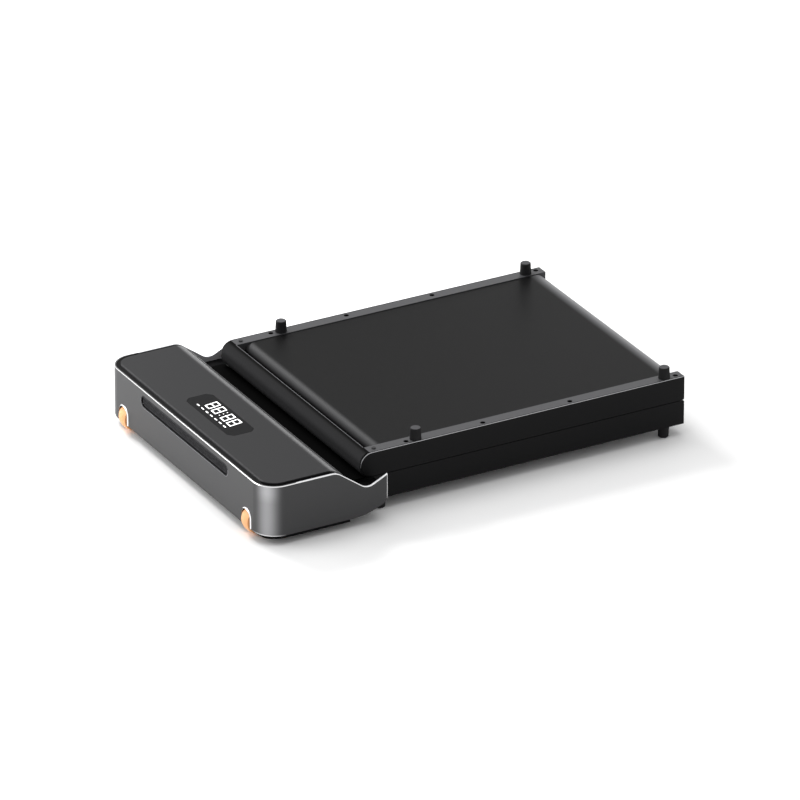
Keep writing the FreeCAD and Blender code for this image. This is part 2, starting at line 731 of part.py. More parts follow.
def half_outline(start):
    """Side outline of a front rail."""
    return [(start, LOW, 0), (END, LOW, 0)] + meeting_corner() + [(start, HIGH, 0)]


def link_slot():
    """Room for a link of the front half, from its resting place to lying along the pad."""
    back = LINK_RADIUS + LINK_ROOM
    half = LINK / 2 + LINK_ROOM
    y0 = RAIL_MID - half
    y1 = RAIL_MID + half
    return box(PIVOT_X - back, END + THROUGH, y0, y1, PIVOT_Z - back, HIGH + THROUGH)


def hole_places():
    """X of the holes in the outer face of a rail."""
    start = FRONT + REAR_START
    return [start + share * (END - start) for share in RAIL_HOLE_SHARES] + [END - END_HOLE_BACK]


def member_places(start):
    """X of the cross members under a deck that begins here."""
    return [start + share * (DECK_STOP - start) for share in MEMBER_SHARES]


def front_rail_tube(start):
    """Right-hand rail of one half, as it lies in the front half."""
    rail = side_plate(half_outline(start), RAIL_IN, RAIL_OUT)
    y0 = RAIL_IN + RAIL_WALL
    y1 = RAIL_OUT - RAIL_WALL
    hollow = box(start - THROUGH, END + THROUGH, y0, y1, LOW + RAIL_WALL, HIGH - RAIL_WALL)
    rail = rail.cut(hollow).cut(link_slot())
    hole_y = DECK_SIDE - RAIL_HOLE_INSET
    top = LOW + RAIL_WALL + THROUGH
    for x in hole_places():
        rail = rail.cut(rod_z(x, hole_y, RAIL_HOLE_RADIUS, LOW - THROUGH, top))
    journal = AXLE_RADIUS + BEARING_FIT
    return rail.cut(rod_y(FOLD_ROLLER_X, CENTRE_Z, journal, RAIL_IN - THROUGH, y0 + THROUGH))


def front_rail():
    """Right-hand front rail, bored for the drive axle's bearing."""
    rail = front_rail_tube(FRONT + RAIL_START)
    return rail.cut(rod_y(DRIVE_X, CENTRE_Z, BEARING_RADIUS, RAIL_IN - THROUGH, RAIL_OUT + THROUGH))


def rear_rail():
    """Right-hand rear rail, slotted for the rear axle and bored for its end screw."""
    start = FRONT + REAR_RAIL_START
    rail = front_rail_tube(start)
    y1 = RAIL_IN + RAIL_WALL + THROUGH
    slot = AXLE_RADIUS + SEAT
    rail = rail.cut(box(start - THROUGH, REAR_X + 2 * AXLE_RADIUS, RAIL_IN - THROUGH, y1,
                        CENTRE_Z - slot, CENTRE_Z + slot))
    screw_x = start + SCREW_FROM_RAIL_END
    return rail.cut(rod_z(screw_x, RAIL_MID, SCREW_SHANK + SEAT, LOW - THROUGH, LOW + RAIL_WALL + THROUGH))


def rail_screws():
    """Screws that hold the end cover in the rear rails."""
    x = FRONT + REAR_RAIL_START + SCREW_FROM_RAIL_END
    head = rod_z(x, RAIL_MID, SCREW_RADIUS, LOW - SCREW_HEAD, LOW)
    screw = head.fuse(rod_z(x, RAIL_MID, SCREW_SHANK, LOW, LOW + RAIL_WALL)).removeSplitter()
    return group([turned_over(screw), turned_over(mirrored(screw))])


def front_side_cover():
    """Black outer skin of the right-hand front rail."""
    start = FRONT + SIDE_COVER_START
    return side_plate(half_outline(start), RAIL_OUT, DECK_SIDE)


def rear_side_cover():
    """Black outer skin of the right-hand rear rail, with the round end of the pad."""
    start = FRONT + REAR_START
    radius = HALF_HEIGHT / 2
    outline = [(start, LOW, radius), (END, LOW, 0)] + meeting_corner() + [(start, HIGH, radius)]
    return turned_over(side_plate(outline, RAIL_OUT, DECK_SIDE))


def hinge_block():
    """Right-hand block in a front rail's end, with the slot and the pin hole of its link."""
    wall = RAIL_WALL + SEAT
    x1 = END - BLOCK_BACK
    x0 = x1 - BLOCK_LENGTH
    low = LOW + wall
    high = HIGH - wall
    outline = [(x0, low, 0), (x1, low, 0), (x1, high, BLOCK_CORNER), (x0, high, 0)]
    block = side_plate(outline, RAIL_IN + wall, RAIL_OUT - wall).cut(link_slot())
    return block.cut(rod_y(PIVOT_X, PIVOT_Z, PIN_RADIUS, RAIL_IN, RAIL_OUT))


def hinge_pin():
    wall = RAIL_WALL + SEAT
    return rod_y(PIVOT_X, PIVOT_Z, PIN_RADIUS, RAIL_IN + wall, RAIL_OUT - wall)


def hinge_link():
    """Right-hand link between the two pivots."""
    radius = LINK_RADIUS
    x0 = PIVOT_X - radius
    x1 = PIVOT_X + radius
    z0 = PIVOT_Z - radius
    z1 = 2 * MID_Z - z0
    outline = [(x0, z0, radius), (x1, z0, radius), (x1, z1, radius), (x0, z1, radius)]
    y0 = RAIL_MID - LINK / 2
    link = side_plate(outline, y0, y0 + LINK)
    for z in (PIVOT_Z, 2 * MID_Z - PIVOT_Z):
        link = link.cut(rod_y(PIVOT_X, z, PIN_RADIUS + BEARING_FIT, y0 - THROUGH, y0 + LINK + THROUGH))
    return link


def foot(x):
    """Right-hand rubber foot under a front rail."""
    y = DECK_SIDE - FOOT_INSET
    height = FOOT_HEIGHT - FOOT_CHAMFER
    cone = Part.makeCone(FOOT_TIP_RADIUS, FOOT_BASE_RADIUS, height, V(x, y, FOOT_CHAMFER))
    tip = Part.makeCone(FOOT_TIP_RADIUS - FOOT_CHAMFER, FOOT_TIP_RADIUS, FOOT_CHAMFER, V(x, y, 0))
    return cone.fuse(tip).removeSplitter()


def feet(near_cowl):
    """Four feet of one half: two near the cowl, two at the fold."""
    right = [foot(near_cowl), foot(END - FOLD_FOOT_BACK)]
    return group(right + [mirrored(one) for one in right])


def deck(start):
    return box(start, DECK_STOP, -DECK_HALF, DECK_HALF, DECK_TOP - DECK, DECK_TOP)


def cross_members(deck_start):
    """Rectangular steel tubes from rail to rail."""
    tubes = []
    half = MEMBER_WIDTH / 2
    low = MEMBER_TOP - MEMBER_HEIGHT
    wall = MEMBER_WALL
    for x in member_places(deck_start):
        tube = box(x - half, x + half, -RAIL_IN, RAIL_IN, low, MEMBER_TOP)
        bore = box(x - half + wall, x + half - wall, -DECK_SIDE, DECK_SIDE, low + wall, MEMBER_TOP - wall)
        tubes.append(tube.cut(bore))
    return group(tubes)


def dampers(deck_start):
    """Rubber blocks between the cross members and the deck."""
    blocks = []
    for x in member_places(deck_start):
        for share in DAMPER_SHARES:
            y = share * DECK_HALF
            blocks.append(rod_z(x, y, DAMPER_RADIUS, MEMBER_TOP, MEMBER_TOP + DAMPER))
    return group(blocks)


def belt_half(roller_x):
    """Walking belt of one half: round its roller, with the walking run and the return run."""
    outer = rod_y(roller_x, CENTRE_Z, LOOP_RADIUS, -BELT_HALF, BELT_HALF)
    inner = rod_y(roller_x, CENTRE_Z, LOOP_INSIDE, -DECK_SIDE, DECK_SIDE)
    beyond = box(roller_x, roller_x + HALF_HEIGHT, -DECK_SIDE, DECK_SIDE, LOW, HIGH)
    wrap = outer.cut(inner).cut(beyond)
    top = CENTRE_Z + LOOP_RADIUS
    bottom = CENTRE_Z - LOOP_RADIUS
    walking = box(roller_x, FLAP_END, -BELT_HALF, BELT_HALF, top - BELT, top)
    returning = box(roller_x, FOLD_ROLLER_X, -BELT_HALF, BELT_HALF, bottom, bottom + BELT)
    return wrap.multiFuse([walking, returning]).removeSplitter()


def belt_fold():
    """The belt where it goes round the folded end of the pad."""
    x0 = FOLD_ROLLER_X
    bottom = CENTRE_Z - LOOP_RADIUS
    top = 2 * MID_Z - bottom
    inside = FOLD_FACE - BELT
    outline = [
        (x0, bottom, 0), (FOLD_FACE, bottom, LOOP_RADIUS),
        (FOLD_FACE, top, LOOP_RADIUS), (x0, top, 0),
        (x0, top - BELT, 0), (inside, top - BELT, LOOP_INSIDE),
        (inside, bottom + BELT, LOOP_INSIDE), (x0, bottom + BELT, 0),
    ]
    return side_plate(outline, -BELT_HALF, BELT_HALF)


def fold_roller():
    """Idler that the belt turns round at the fold, with a journal at each end."""
    roller = rod_y(FOLD_ROLLER_X, CENTRE_Z, ROLLER_RADIUS, -ROLLER_HALF, ROLLER_HALF)
    inside = ROLLER_HALF - ROLLER_PLUG
    roller = roller.cut(rod_y(FOLD_ROLLER_X, CENTRE_Z, ROLLER_RADIUS - ROLLER_WALL, -inside, inside))
    reach = RAIL_IN + JOURNAL
    ends = [rod_y(FOLD_ROLLER_X, CENTRE_Z, AXLE_RADIUS, inside, reach)]
    ends.append(mirrored(ends[0]))
    return roller.multiFuse(ends).removeSplitter()


def rear_roller():
    tube = ring_y(REAR_X, CENTRE_Z, ROLLER_RADIUS, ROLLER_RADIUS - ROLLER_WALL, -ROLLER_HALF, ROLLER_HALF)
    return turned_over(tube)


def rear_bearings():
    bore = AXLE_RADIUS + BEARING_FIT
    outer = ROLLER_RADIUS - ROLLER_WALL
    right = ring_y(REAR_X, CENTRE_Z, outer, bore, ROLLER_HALF - ROLLER_PLUG, ROLLER_HALF)
    return group([turned_over(right), turned_over(mirrored(right))])


def rear_axle():
    reach = RAIL_OUT - RAIL_WALL - SEAT
    return turned_over(rod_y(REAR_X, CENTRE_Z, AXLE_RADIUS, -reach, reach))


def end_cover():
    """Half-round cover over the rear roller, with a plug in each rail."""
    start = FRONT + REAR_START
    edge = start + COVER_LENGTH
    radius = COVER_CORNER
    wide = RAIL_OUT - SLIP
    wall = COVER_WALL
    outline = [(edge, LOW, 0), (edge, HIGH, 0), (start, HIGH, radius), (start, LOW, radius)]
    inner = [
        (edge + THROUGH, LOW + wall, 0), (edge + THROUGH, HIGH - wall, 0),
        (start + wall, HIGH - wall, radius - wall), (start + wall, LOW + wall, radius - wall),
    ]
    shell = side_plate(outline, -wide, wide).cut(side_plate(inner, -DECK_SIDE, DECK_SIDE))
    gap = RAIL_WALL + SEAT
    x1 = FRONT + REAR_RAIL_START + COVER_PLUG_IN
    plug = box(start + COVER_PLUG_FROM, x1, RAIL_IN + gap, RAIL_OUT - gap, LOW + gap, HIGH - gap)
    plug = plug.common(side_plate([(x1, LOW, 0), (x1, HIGH, 0)] + outline[2:], RAIL_IN, RAIL_OUT))
    cover = shell.multiFuse([plug, mirrored(plug)]).removeSplitter()
    for side in (-1, 1):
        y = side * RAIL_MID
        pocket = start + COVER_PLUG_FROM - THROUGH
        cover = cover.cut(rod_x(y, CENTRE_Z, BOLT_RADIUS + SEAT, pocket, x1 + THROUGH))
        cover = cover.cut(rod_x(y, CENTRE_Z, HEAD_POCKET_RADIUS, pocket, bolt_seat()))
        shank = SCREW_SHANK + SEAT
        x = FRONT + REAR_RAIL_START + SCREW_FROM_RAIL_END
        cover = cover.cut(rod_z(x, y, shank, LOW, LOW + gap + RAIL_WALL))
    return turned_over(cover)


def bolt_seat():
    """Where the head of a tension bolt bears in the end cover."""
    return FRONT + REAR_START + COVER_PLUG_FROM + BOLT_HEAD


def tension_bolts():
    """Bolts that pull the rear axle towards the end cover."""
    seat = bolt_seat()
    bolts = []
    for side in (-1, 1):
        y = side * RAIL_MID
        head = rod_x(y, CENTRE_Z, BOLT_HEAD_RADIUS, seat - BOLT_HEAD, seat)
        shank = rod_x(y, CENTRE_Z, BOLT_RADIUS, seat, REAR_X - AXLE_RADIUS)
        bolts.append(turned_over(head.fuse(shank).removeSplitter()))
    return group(bolts)


def controller_board():
    z = TRAY_TOP + BOARD_LIFT
    return box(FRONT + BOARD_FROM, FRONT + BOARD_TO, BOARD_LEFT, BOARD_RIGHT, z, z + BOARD)


def heat_sink():
    """Finned block on the controller board."""
    z0 = TRAY_TOP + BOARD_LIFT + BOARD
    x = FRONT + (BOARD_FROM + BOARD_TO) / 2
    y = (BOARD_LEFT + BOARD_RIGHT) / 2
    x0 = x - SINK_WIDTH / 2
    y0 = y - SINK_LENGTH / 2
    y1 = y + SINK_LENGTH / 2
    base = box(x0, x0 + SINK_WIDTH, y0, y1, z0, z0 + SINK_BASE)
    fins = []
    for index in range(SINK_FINS):
        fin_x = x0 + index * (SINK_WIDTH - SINK_FIN) / (SINK_FINS - 1)
        fins.append(box(fin_x, fin_x + SINK_FIN, y0, y1, z0, z0 + SINK_HEIGHT))
    return base.multiFuse(fins).removeSplitter()


def socket_shell(at, width, height, depth, wall):
    """Open box set in the band from inside, with a flange against the band's inner face."""
    x = FRONT + at
    half_x = width / 2
    half_z = height / 2
    out = COWL_SIDE - SOCKET_INSET
    back = out - depth
    inner = COWL_SIDE - BAND
    reach = INLET_FLANGE
    body = box(x - half_x, x + half_x, back, out, SOCKET_Z - half_z, SOCKET_Z + half_z)
    flange = box(x - half_x - reach, x + half_x + reach, inner - INLET_FLANGE_T, inner,
                 SOCKET_Z - half_z - reach, SOCKET_Z + half_z + reach)
    body = body.fuse(flange).removeSplitter()
    return body.cut(box(x - half_x + wall, x + half_x - wall, back + wall, out + THROUGH,
                        SOCKET_Z - half_z + wall, SOCKET_Z + half_z - wall))


def power_inlet():
    """Mains socket in the right side of the band."""
    return socket_shell(INLET_AT, INLET_WIDTH, INLET_HEIGHT, INLET_DEPTH, INLET_WALL)


def inlet_pins():
    """Three flat contacts standing on the floor of the socket."""
    x = FRONT + INLET_AT
    floor_y = COWL_SIDE - SOCKET_INSET - INLET_DEPTH + INLET_WALL
    places = [(-PIN_PITCH / 2, -PIN_RISE), (PIN_PITCH / 2, -PIN_RISE), (0, PIN_RISE)]
    pins = []
    for dx, dz in places:
        x0 = x + dx - PIN_THICK / 2
        z0 = SOCKET_Z + dz - PIN_WIDE / 2
        pins.append(box(x0, x0 + PIN_THICK, floor_y, floor_y + PIN_LENGTH, z0, z0 + PIN_WIDE))
    return group(pins)


def rocker_pivot():
    """Y of the rocker's trunnions, behind its face."""
    return COWL_SIDE - ROCKER_INSET - ROCKER_DEPTH


def switch_frame():
    """Housing of the power switch, bored for the rocker's trunnions."""
    x = FRONT + SWITCH_AT
    reach = SWITCH_WIDTH / 2 + INLET_FLANGE + THROUGH
    shell = socket_shell(SWITCH_AT, SWITCH_WIDTH, SWITCH_HEIGHT, SWITCH_DEPTH, SWITCH_WALL)
    return shell.cut(rod_x(rocker_pivot(), SOCKET_Z, TRUNNION_RADIUS + BEARING_FIT, x - reach, x + reach))


def switch_rocker():
    """Rocker with a bent face, lying with its upper end pressed in, the off side."""
    x = FRONT + SWITCH_AT
    y = rocker_pivot()
    half_x = SWITCH_WIDTH / 2 - SWITCH_WALL - ROCKER_GAP
    half_z = SWITCH_HEIGHT / 2 - SWITCH_WALL - ROCKER_END_GAP
    face = COWL_SIDE - ROCKER_INSET
    rise = half_z * math.tan(math.radians(ROCKER_TURN)) / 2
    low = y - 2 * TRUNNION_RADIUS
    corners = [
        V(x - half_x, low, SOCKET_Z - half_z / 2), V(x - half_x, low, SOCKET_Z + half_z / 2),
        V(x - half_x, face + rise, SOCKET_Z + half_z), V(x - half_x, face - rise, SOCKET_Z),
        V(x - half_x, face + rise, SOCKET_Z - half_z),
    ]
    body = Part.Face(Part.makePolygon(corners + corners[:1])).extrude(V(2 * half_x, 0, 0))
    pin_half = SWITCH_WIDTH / 2
    body = body.fuse(rod_x(y, SOCKET_Z, TRUNNION_RADIUS, x - pin_half, x + pin_half)).removeSplitter()
    body.rotate(V(x, y, SOCKET_Z), V(1, 0, 0), ROCKER_TURN)
    return body


def front_nodes():
    """Pieces of the cowl and the front half."""
    rail = front_rail()
    skin = front_side_cover()
    block = hinge_block()
    filler = tail_filler()
    return {
        "base_tray": base_tray(),
        "cowl_band": cowl_band(),
        "cowl_bezel": cowl_bezel(),
        "cowl_top": cowl_top(),
        "slot_insert": slot_insert(),
        "display_window": display_window(),
        "display_board": display_board(),
        "rear_apron": rear_apron(),
        "tail_fillers": group([filler, mirrored(filler)]),
        "wheel_forks": group([wheel_fork(-1), wheel_fork(1)]),
        "wheel_axles": group([wheel_axle(-1), wheel_axle(1)]),
        "wheel_left": wheel(-1),
        "wheel_right": wheel(1),
        "motor_can": motor_can(),
        "motor_bracket": motor_bracket(),
        "motor_shaft": motor_shaft(),
        "motor_pulley": pulley(FRONT + MOTOR_AT, MOTOR_Z, MOTOR_PULLEY_RADIUS, SHAFT_RADIUS),
        "drive_belt": drive_belt(),
        "drive_pulley": pulley(DRIVE_X, CENTRE_Z, DRIVE_PULLEY_RADIUS, AXLE_RADIUS),
        "drive_roller": drive_roller(),
        "drive_axle": drive_axle(),
        "drive_bearings": drive_bearings(),
        "controller_board": controller_board(),
        "heat_sink": heat_sink(),
        "power_inlet": power_inlet(),
        "inlet_pins": inlet_pins(),
        "switch_frame": switch_frame(),
        "switch_rocker": switch_rocker(),
        "front_rail_left": mirrored(rail),
        "front_rail_right": rail,
        "front_side_cover_left": mirrored(skin),
        "front_side_cover_right": skin,
        "front_deck": deck(FRONT_DECK_START),
        "front_cross_members": cross_members(FRONT_DECK_START),
        "front_dampers": dampers(FRONT_DECK_START),
        "front_feet": feet(FRONT + FRONT_FOOT_AT),
        "front_hinge_blocks": group([block, mirrored(block)]),
        "front_hinge_pins": group([hinge_pin(), mirrored(hinge_pin())]),
        "front_fold_roller": fold_roller(),
        "belt_front": belt_half(DRIVE_X),
        "belt_fold": belt_fold(),
        "hinge_links": group([hinge_link(), mirrored(hinge_link())]),
    }


def rear_nodes():
    """Pieces of the rear half, which lies turned over on the front half."""
    rail = turned_over(rear_rail())
    skin = rear_side_cover()
    block = turned_over(hinge_block())
    pin = turned_over(hinge_pin())
    return {
        "rear_rail_left": mirrored(rail),
        "rear_rail_right": rail,
        "rear_side_cover_left": mirrored(skin),
        "rear_side_cover_right": skin,
        "rear_deck": turned_over(deck(REAR_DECK_START)),
        "rear_cross_members": turned_over(cross_members(REAR_DECK_START)),
        "rear_dampers": turned_over(dampers(REAR_DECK_START)),
        "rear_feet": turned_over(feet(FRONT + REAR_START + REAR_FOOT_AT)),
        "rear_hinge_blocks": group([block, mirrored(block)]),
        "rear_hinge_pins": group([pin, mirrored(pin)]),
        "rear_fold_roller": turned_over(fold_roller()),
        "belt_rear": turned_over(belt_half(REAR_X)),
        "rear_roller": rear_roller(),
        "rear_bearings": rear_bearings(),
        "rear_axle": rear_axle(),
        "end_cover": end_cover(),
        "tension_bolts": tension_bolts(),
        "rail_screws": rail_screws(),
    }


def main():
    os.makedirs("parts", exist_ok=True)
    nodes = front_nodes()
    nodes.update(rear_nodes())
    for name, shape in nodes.items():
        shape.exportStep(os.path.join("parts", name + ".step"))
        if not shape.isValid():
            raise RuntimeError(name + " is not a valid solid")


main()
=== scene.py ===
import math

import bmesh
import bpy
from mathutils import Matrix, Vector


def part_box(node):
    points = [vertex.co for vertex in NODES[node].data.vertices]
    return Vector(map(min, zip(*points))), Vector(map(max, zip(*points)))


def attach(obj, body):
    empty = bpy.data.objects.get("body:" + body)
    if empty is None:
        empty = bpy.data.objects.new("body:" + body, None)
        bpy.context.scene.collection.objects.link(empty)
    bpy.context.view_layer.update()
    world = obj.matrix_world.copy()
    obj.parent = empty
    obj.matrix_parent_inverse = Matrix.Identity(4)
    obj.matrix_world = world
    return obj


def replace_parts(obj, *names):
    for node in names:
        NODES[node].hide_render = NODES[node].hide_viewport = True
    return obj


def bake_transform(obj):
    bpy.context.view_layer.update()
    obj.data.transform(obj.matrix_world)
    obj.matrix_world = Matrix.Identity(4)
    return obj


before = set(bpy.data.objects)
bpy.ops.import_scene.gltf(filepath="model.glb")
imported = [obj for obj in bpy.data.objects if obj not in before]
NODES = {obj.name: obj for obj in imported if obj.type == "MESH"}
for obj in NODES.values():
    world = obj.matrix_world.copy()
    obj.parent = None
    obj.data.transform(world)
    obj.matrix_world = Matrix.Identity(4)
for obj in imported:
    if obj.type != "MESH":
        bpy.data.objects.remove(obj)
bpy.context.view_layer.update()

bl_info = {
    "name": "Folding walking pad",
    "version": (1, 0, 0),
    "blender": (4, 5, 0),
    "location": "View3D > Sidebar > Walking pad",
    "description": "Finishes and small parts for a walking pad that is stored folded",
    "category": "Object",
}

MM = 0.001
MATH = "ShaderNodeMath"
RAMP = "ShaderNodeMapRange"
SPLIT = "ShaderNodeSeparateXYZ"

SAME_POINT = 1e-6               # points closer than this are one
FLAT_TURN = 0.002               # faces that turn less than this are one flat face
SHARP_TURN = 0.9                # faces that turn more than this meet at a sharp edge
SMOOTH_TURN = math.radians(40)  # faces that turn less than this are shaded as one

SLOT_FLANGE = 2.6 * MM          # edge of the slot insert that is hidden behind the band
SLOT_END_STEPS = 16             # steps round half of the slot's rim
PIT_FOOT = 7 * MM               # lowest row of pits above the insert's lower edge
PIT_HEAD = 6 * MM               # the rows end this far below its upper edge
PIT_REACH = 0.148               # the rows run this far to both sides of the middle
PIT_DEPTH = 0.2 * MM
ROW_SHARE = 0.87                # rows of a honeycomb stand this share of the pitch apart

DIGITS_BACK = 74.1 * MM         # from the band's front to the middle of the digits
DASHES_BACK = 53.5 * MM         # from the band's front to the dashes
DASHES_ASIDE = 3.8 * MM         # from the middle of the pad to the middle of the dashes
DIGIT_LEAN = -0.14              # how far the digits lean over for their height
PIP_SHARE = 0.7                 # outer pips of the colon, as a share of half a digit
MARK_SINK = 0.02 * MM           # the marks start this far inside the window

NOTCH_SIDE = 3.5 * MM           # room beside a wheel in its notch
NOTCH_TOP = 46.5 * MM           # top of a notch above the floor
NOTCH_CORNER = 13.0 * MM
CORNER_STEPS = 8
NOTCH_FOOT = 0.2 * MM           # the rim ends this far above the band's lower edge
HAIR = 0.01 * MM                # gap that keeps two faces from lying in one plane

LIP_AHEAD = 0.4 * MM            # from the lip of the end cover to the rails
LIP_ASIDE = 0.3 * MM            # from the ends of the lip to the rails

BELT_THICK = 1.8 * MM
ARC_STEPS = 16
RUN_STEPS = 12

FLOOR_REACH = 9.0
FLOOR_LEVEL = -0.0005


# Small helpers

def rgb(code):
    """Turns an sRGB hex colour into linear red, green, blue and alpha."""
    parts = [int(code[i:i + 2], 16) / 255 for i in (1, 3, 5)]
    linear = [c / 12.92 if c <= 0.04045 else ((c + 0.055) / 1.055) ** 2.4 for c in parts]
    return tuple(linear) + (1.0,)


def add(tree, kind, inputs=(), **settings):
    """Adds a node. Each input is a value, an output, or a node whose first output is taken."""
    made = tree.nodes.new(kind)
    for key, value in settings.items():
        setattr(made, key, value)
    for key, value in dict(inputs).items():
        if isinstance(value, bpy.types.Node):
            value = value.outputs[0]
        if isinstance(value, bpy.types.NodeSocket):
            tree.links.new(value, made.inputs[key])
        else:
            made.inputs[key].default_value = value
    return made


def paint(material, *nodes):
    """Gives CAD nodes their material."""
    for name in nodes:
        mesh = NODES[name].data
        mesh.materials.clear()
        mesh.materials.append(material)


def shown(name, mesh):
    """Puts a mesh into the scene as an object."""
    obj = bpy.data.objects.new(name, mesh)
    bpy.context.scene.collection.objects.link(obj)
    return obj


def piece(name, verts, faces, material, smooth=False):
    """Makes a mesh object from points in metres."""
    mesh = bpy.data.meshes.new(name)
    mesh.from_pydata([tuple(v) for v in verts], [], faces)
    mesh.validate()
    work = bmesh.new()
    work.from_mesh(mesh)
    bmesh.ops.recalc_face_normals(work, faces=work.faces)
    work.to_mesh(mesh)
    work.free()
    if smooth:
        mesh.shade_smooth()
        mesh.set_sharp_from_angle(angle=SMOOTH_TURN)
    mesh.materials.append(material)
    return shown(name, mesh)


def grown(obj, tree, values):
    """Runs a Geometry Nodes tree on an object and keeps the result as its plain mesh."""
    modifier = obj.modifiers.new(tree.name, "NODES")
    modifier.node_group = tree
    sockets = {s.name: s.identifier for s in tree.interface.items_tree if s.in_out == "INPUT"}
    for key, value in values.items():
        modifier[sockets[key]] = value
    obj.update_tag()
    bpy.context.view_layer.update()
    evaluated = obj.evaluated_get(bpy.context.evaluated_depsgraph_get())
    mesh = bpy.data.meshes.new_from_object(evaluated)
    if not mesh.polygons:
        raise RuntimeError(f"{obj.name} came out empty")
    obj.modifiers.remove(modifier)
    obj.data = mesh
    return obj


def sweep(profile, half_width):
    """Points and faces of a closed X-Z profile drawn out to both sides of the middle."""
    count = len(profile)
    verts = [(x, y, z) for y in (-half_width, half_width) for x, z in profile]
    faces = [[i, count + i, count + (i + 1) % count, (i + 1) % count] for i in range(count)]
    faces += [list(range(count)), list(range(2 * count - 1, count - 1, -1))]
    return verts, faces


def tube(path, radius, sides=10, ring=False, flat=1.0):
    """Points and faces of a rod along a path, which may close into a ring or be flat along X."""
    verts, faces = [], []
    count = len(path)
    for i, spot in enumerate(path):
        after = path[(i + 1) % count if ring else min(i + 1, count - 1)]
        before = path[i - 1 if ring else max(i - 1, 0)]
        along = (after - before).normalized()
        across = along.cross(Vector((1, 0, 0))).normalized()
        up = along.cross(across)
        for k in range(sides):
            turn = k * math.tau / sides
            verts.append(spot + radius * (math.cos(turn) * across + flat * math.sin(turn) * up))
    for i in range(count if ring else count - 1):
        for k in range(sides):
            corners = ((i, k), (i + 1, k), (i + 1, k + 1), (i, k + 1))
            faces.append([(a % count) * sides + b % sides for a, b in corners])
    if not ring:
        last = len(verts) - sides
        faces += [list(range(sides)), list(range(last + sides - 1, last - 1, -1))]
    return verts, faces


def flare(path, x, rise, run):
    """Points and faces of a rim that stands up at an opening's edge and slopes away from it."""
    verts, faces = [], []
    for i, spot in enumerate(path):
        along = (path[min(i + 1, len(path) - 1)] - path[max(i - 1, 0)]).normalized()
        out = Vector((-along.y, along.x))
        verts += [(x, *spot), (x - rise, *spot), (x, *(spot + run * out))]
    for i in range(len(path) - 1):
        for k in range(3):
            a, b = 3 * i + k, 3 * i + (k + 1) % 3
            faces.append([a, a + 3, b + 3, b])
    last = len(verts) - 3
    faces += [[0, 1, 2], [last + 2, last + 1, last]]
    return verts, faces


def trimmed(node, name, width, chosen, materials):
    """A copy of a CAD node whose chosen edges are cut off at a slant in the second material."""
    work = bmesh.new()
    work.from_mesh(NODES[node].data)
    bmesh.ops.remove_doubles(work, verts=work.verts, dist=SAME_POINT)
    bmesh.ops.dissolve_limit(work, angle_limit=FLAT_TURN, verts=work.verts, edges=work.edges)
    edges = [e for e in work.edges
             if len(e.link_faces) == 2 and e.calc_face_angle() > SHARP_TURN and chosen(e)]
    if not edges:
        raise RuntimeError(f"{node} has no edge to cut")
    bmesh.ops.bevel(work, geom=edges, offset=width, segments=1, affect="EDGES", material=1)
    bmesh.ops.recalc_face_normals(work, faces=work.faces)
    mesh = bpy.data.meshes.new(name)
    work.to_mesh(mesh)
    work.free()
    for material in materials:
        mesh.materials.append(material)
    return shown(name, mesh)


# Materials

def shader(name, colour, roughness, metallic=0.0, **more):
    """A material with one Principled shader whose plain values sit on its own sockets."""
    material = bpy.data.materials.new(name)
    material.use_nodes = True
    tree = material.node_tree
    tree.nodes.clear()
    values = {"Base Color": colour, "Roughness": roughness, "Metallic": metallic}
    values.update({key.replace("_", " "): value for key, value in more.items()})
    body = add(tree, "ShaderNodeBsdfPrincipled", values)
    add(tree, "ShaderNodeOutputMaterial", {"Surface": body})
    material.diffuse_color = colour
    return material, tree, body


def grain(tree, body, size_mm, height_mm, stretch=(1, 1, 1), detail=2.0):
    """Bumps the surface with a noise whose spots are about size_mm across."""
    place = add(tree, "ShaderNodeTexCoord").outputs["Object"]
    sized = add(tree, "ShaderNodeMapping", {"Vector": place, "Scale": stretch})
    spots = add(tree, "ShaderNodeTexNoise", {"Vector": sized, "Scale": 1000 / size_mm,
                                             "Detail": detail, "Roughness": 0.5})
    bump = add(tree, "ShaderNodeBump", {"Height": spots.outputs["Fac"], "Strength": 0.6,
                                        "Distance": height_mm * MM})
    tree.links.new(bump.outputs["Normal"], body.inputs["Normal"])
    return spots.outputs["Fac"]


def local(tree):
    """The place on the piece, as separate X, Y and Z."""
    place = add(tree, "ShaderNodeTexCoord").outputs["Object"]
    return add(tree, SPLIT, {"Vector": place}).outputs


def layered(tree, body, socket, ground, *layers):
    """Sets a shader socket to a colour or value that each mask in turn covers with its own."""
    kind, under, over, result = ("FLOAT", 2, 3, 0)
    if socket == "Base Color":
        kind, under, over, result = ("RGBA", 6, 7, 2)
    for mask, cover in layers:
        blend = add(tree, "ShaderNodeMix", {0: mask, under: ground, over: cover}, data_type=kind)
        ground = blend.outputs[result]
    tree.links.new(ground, body.inputs[socket])


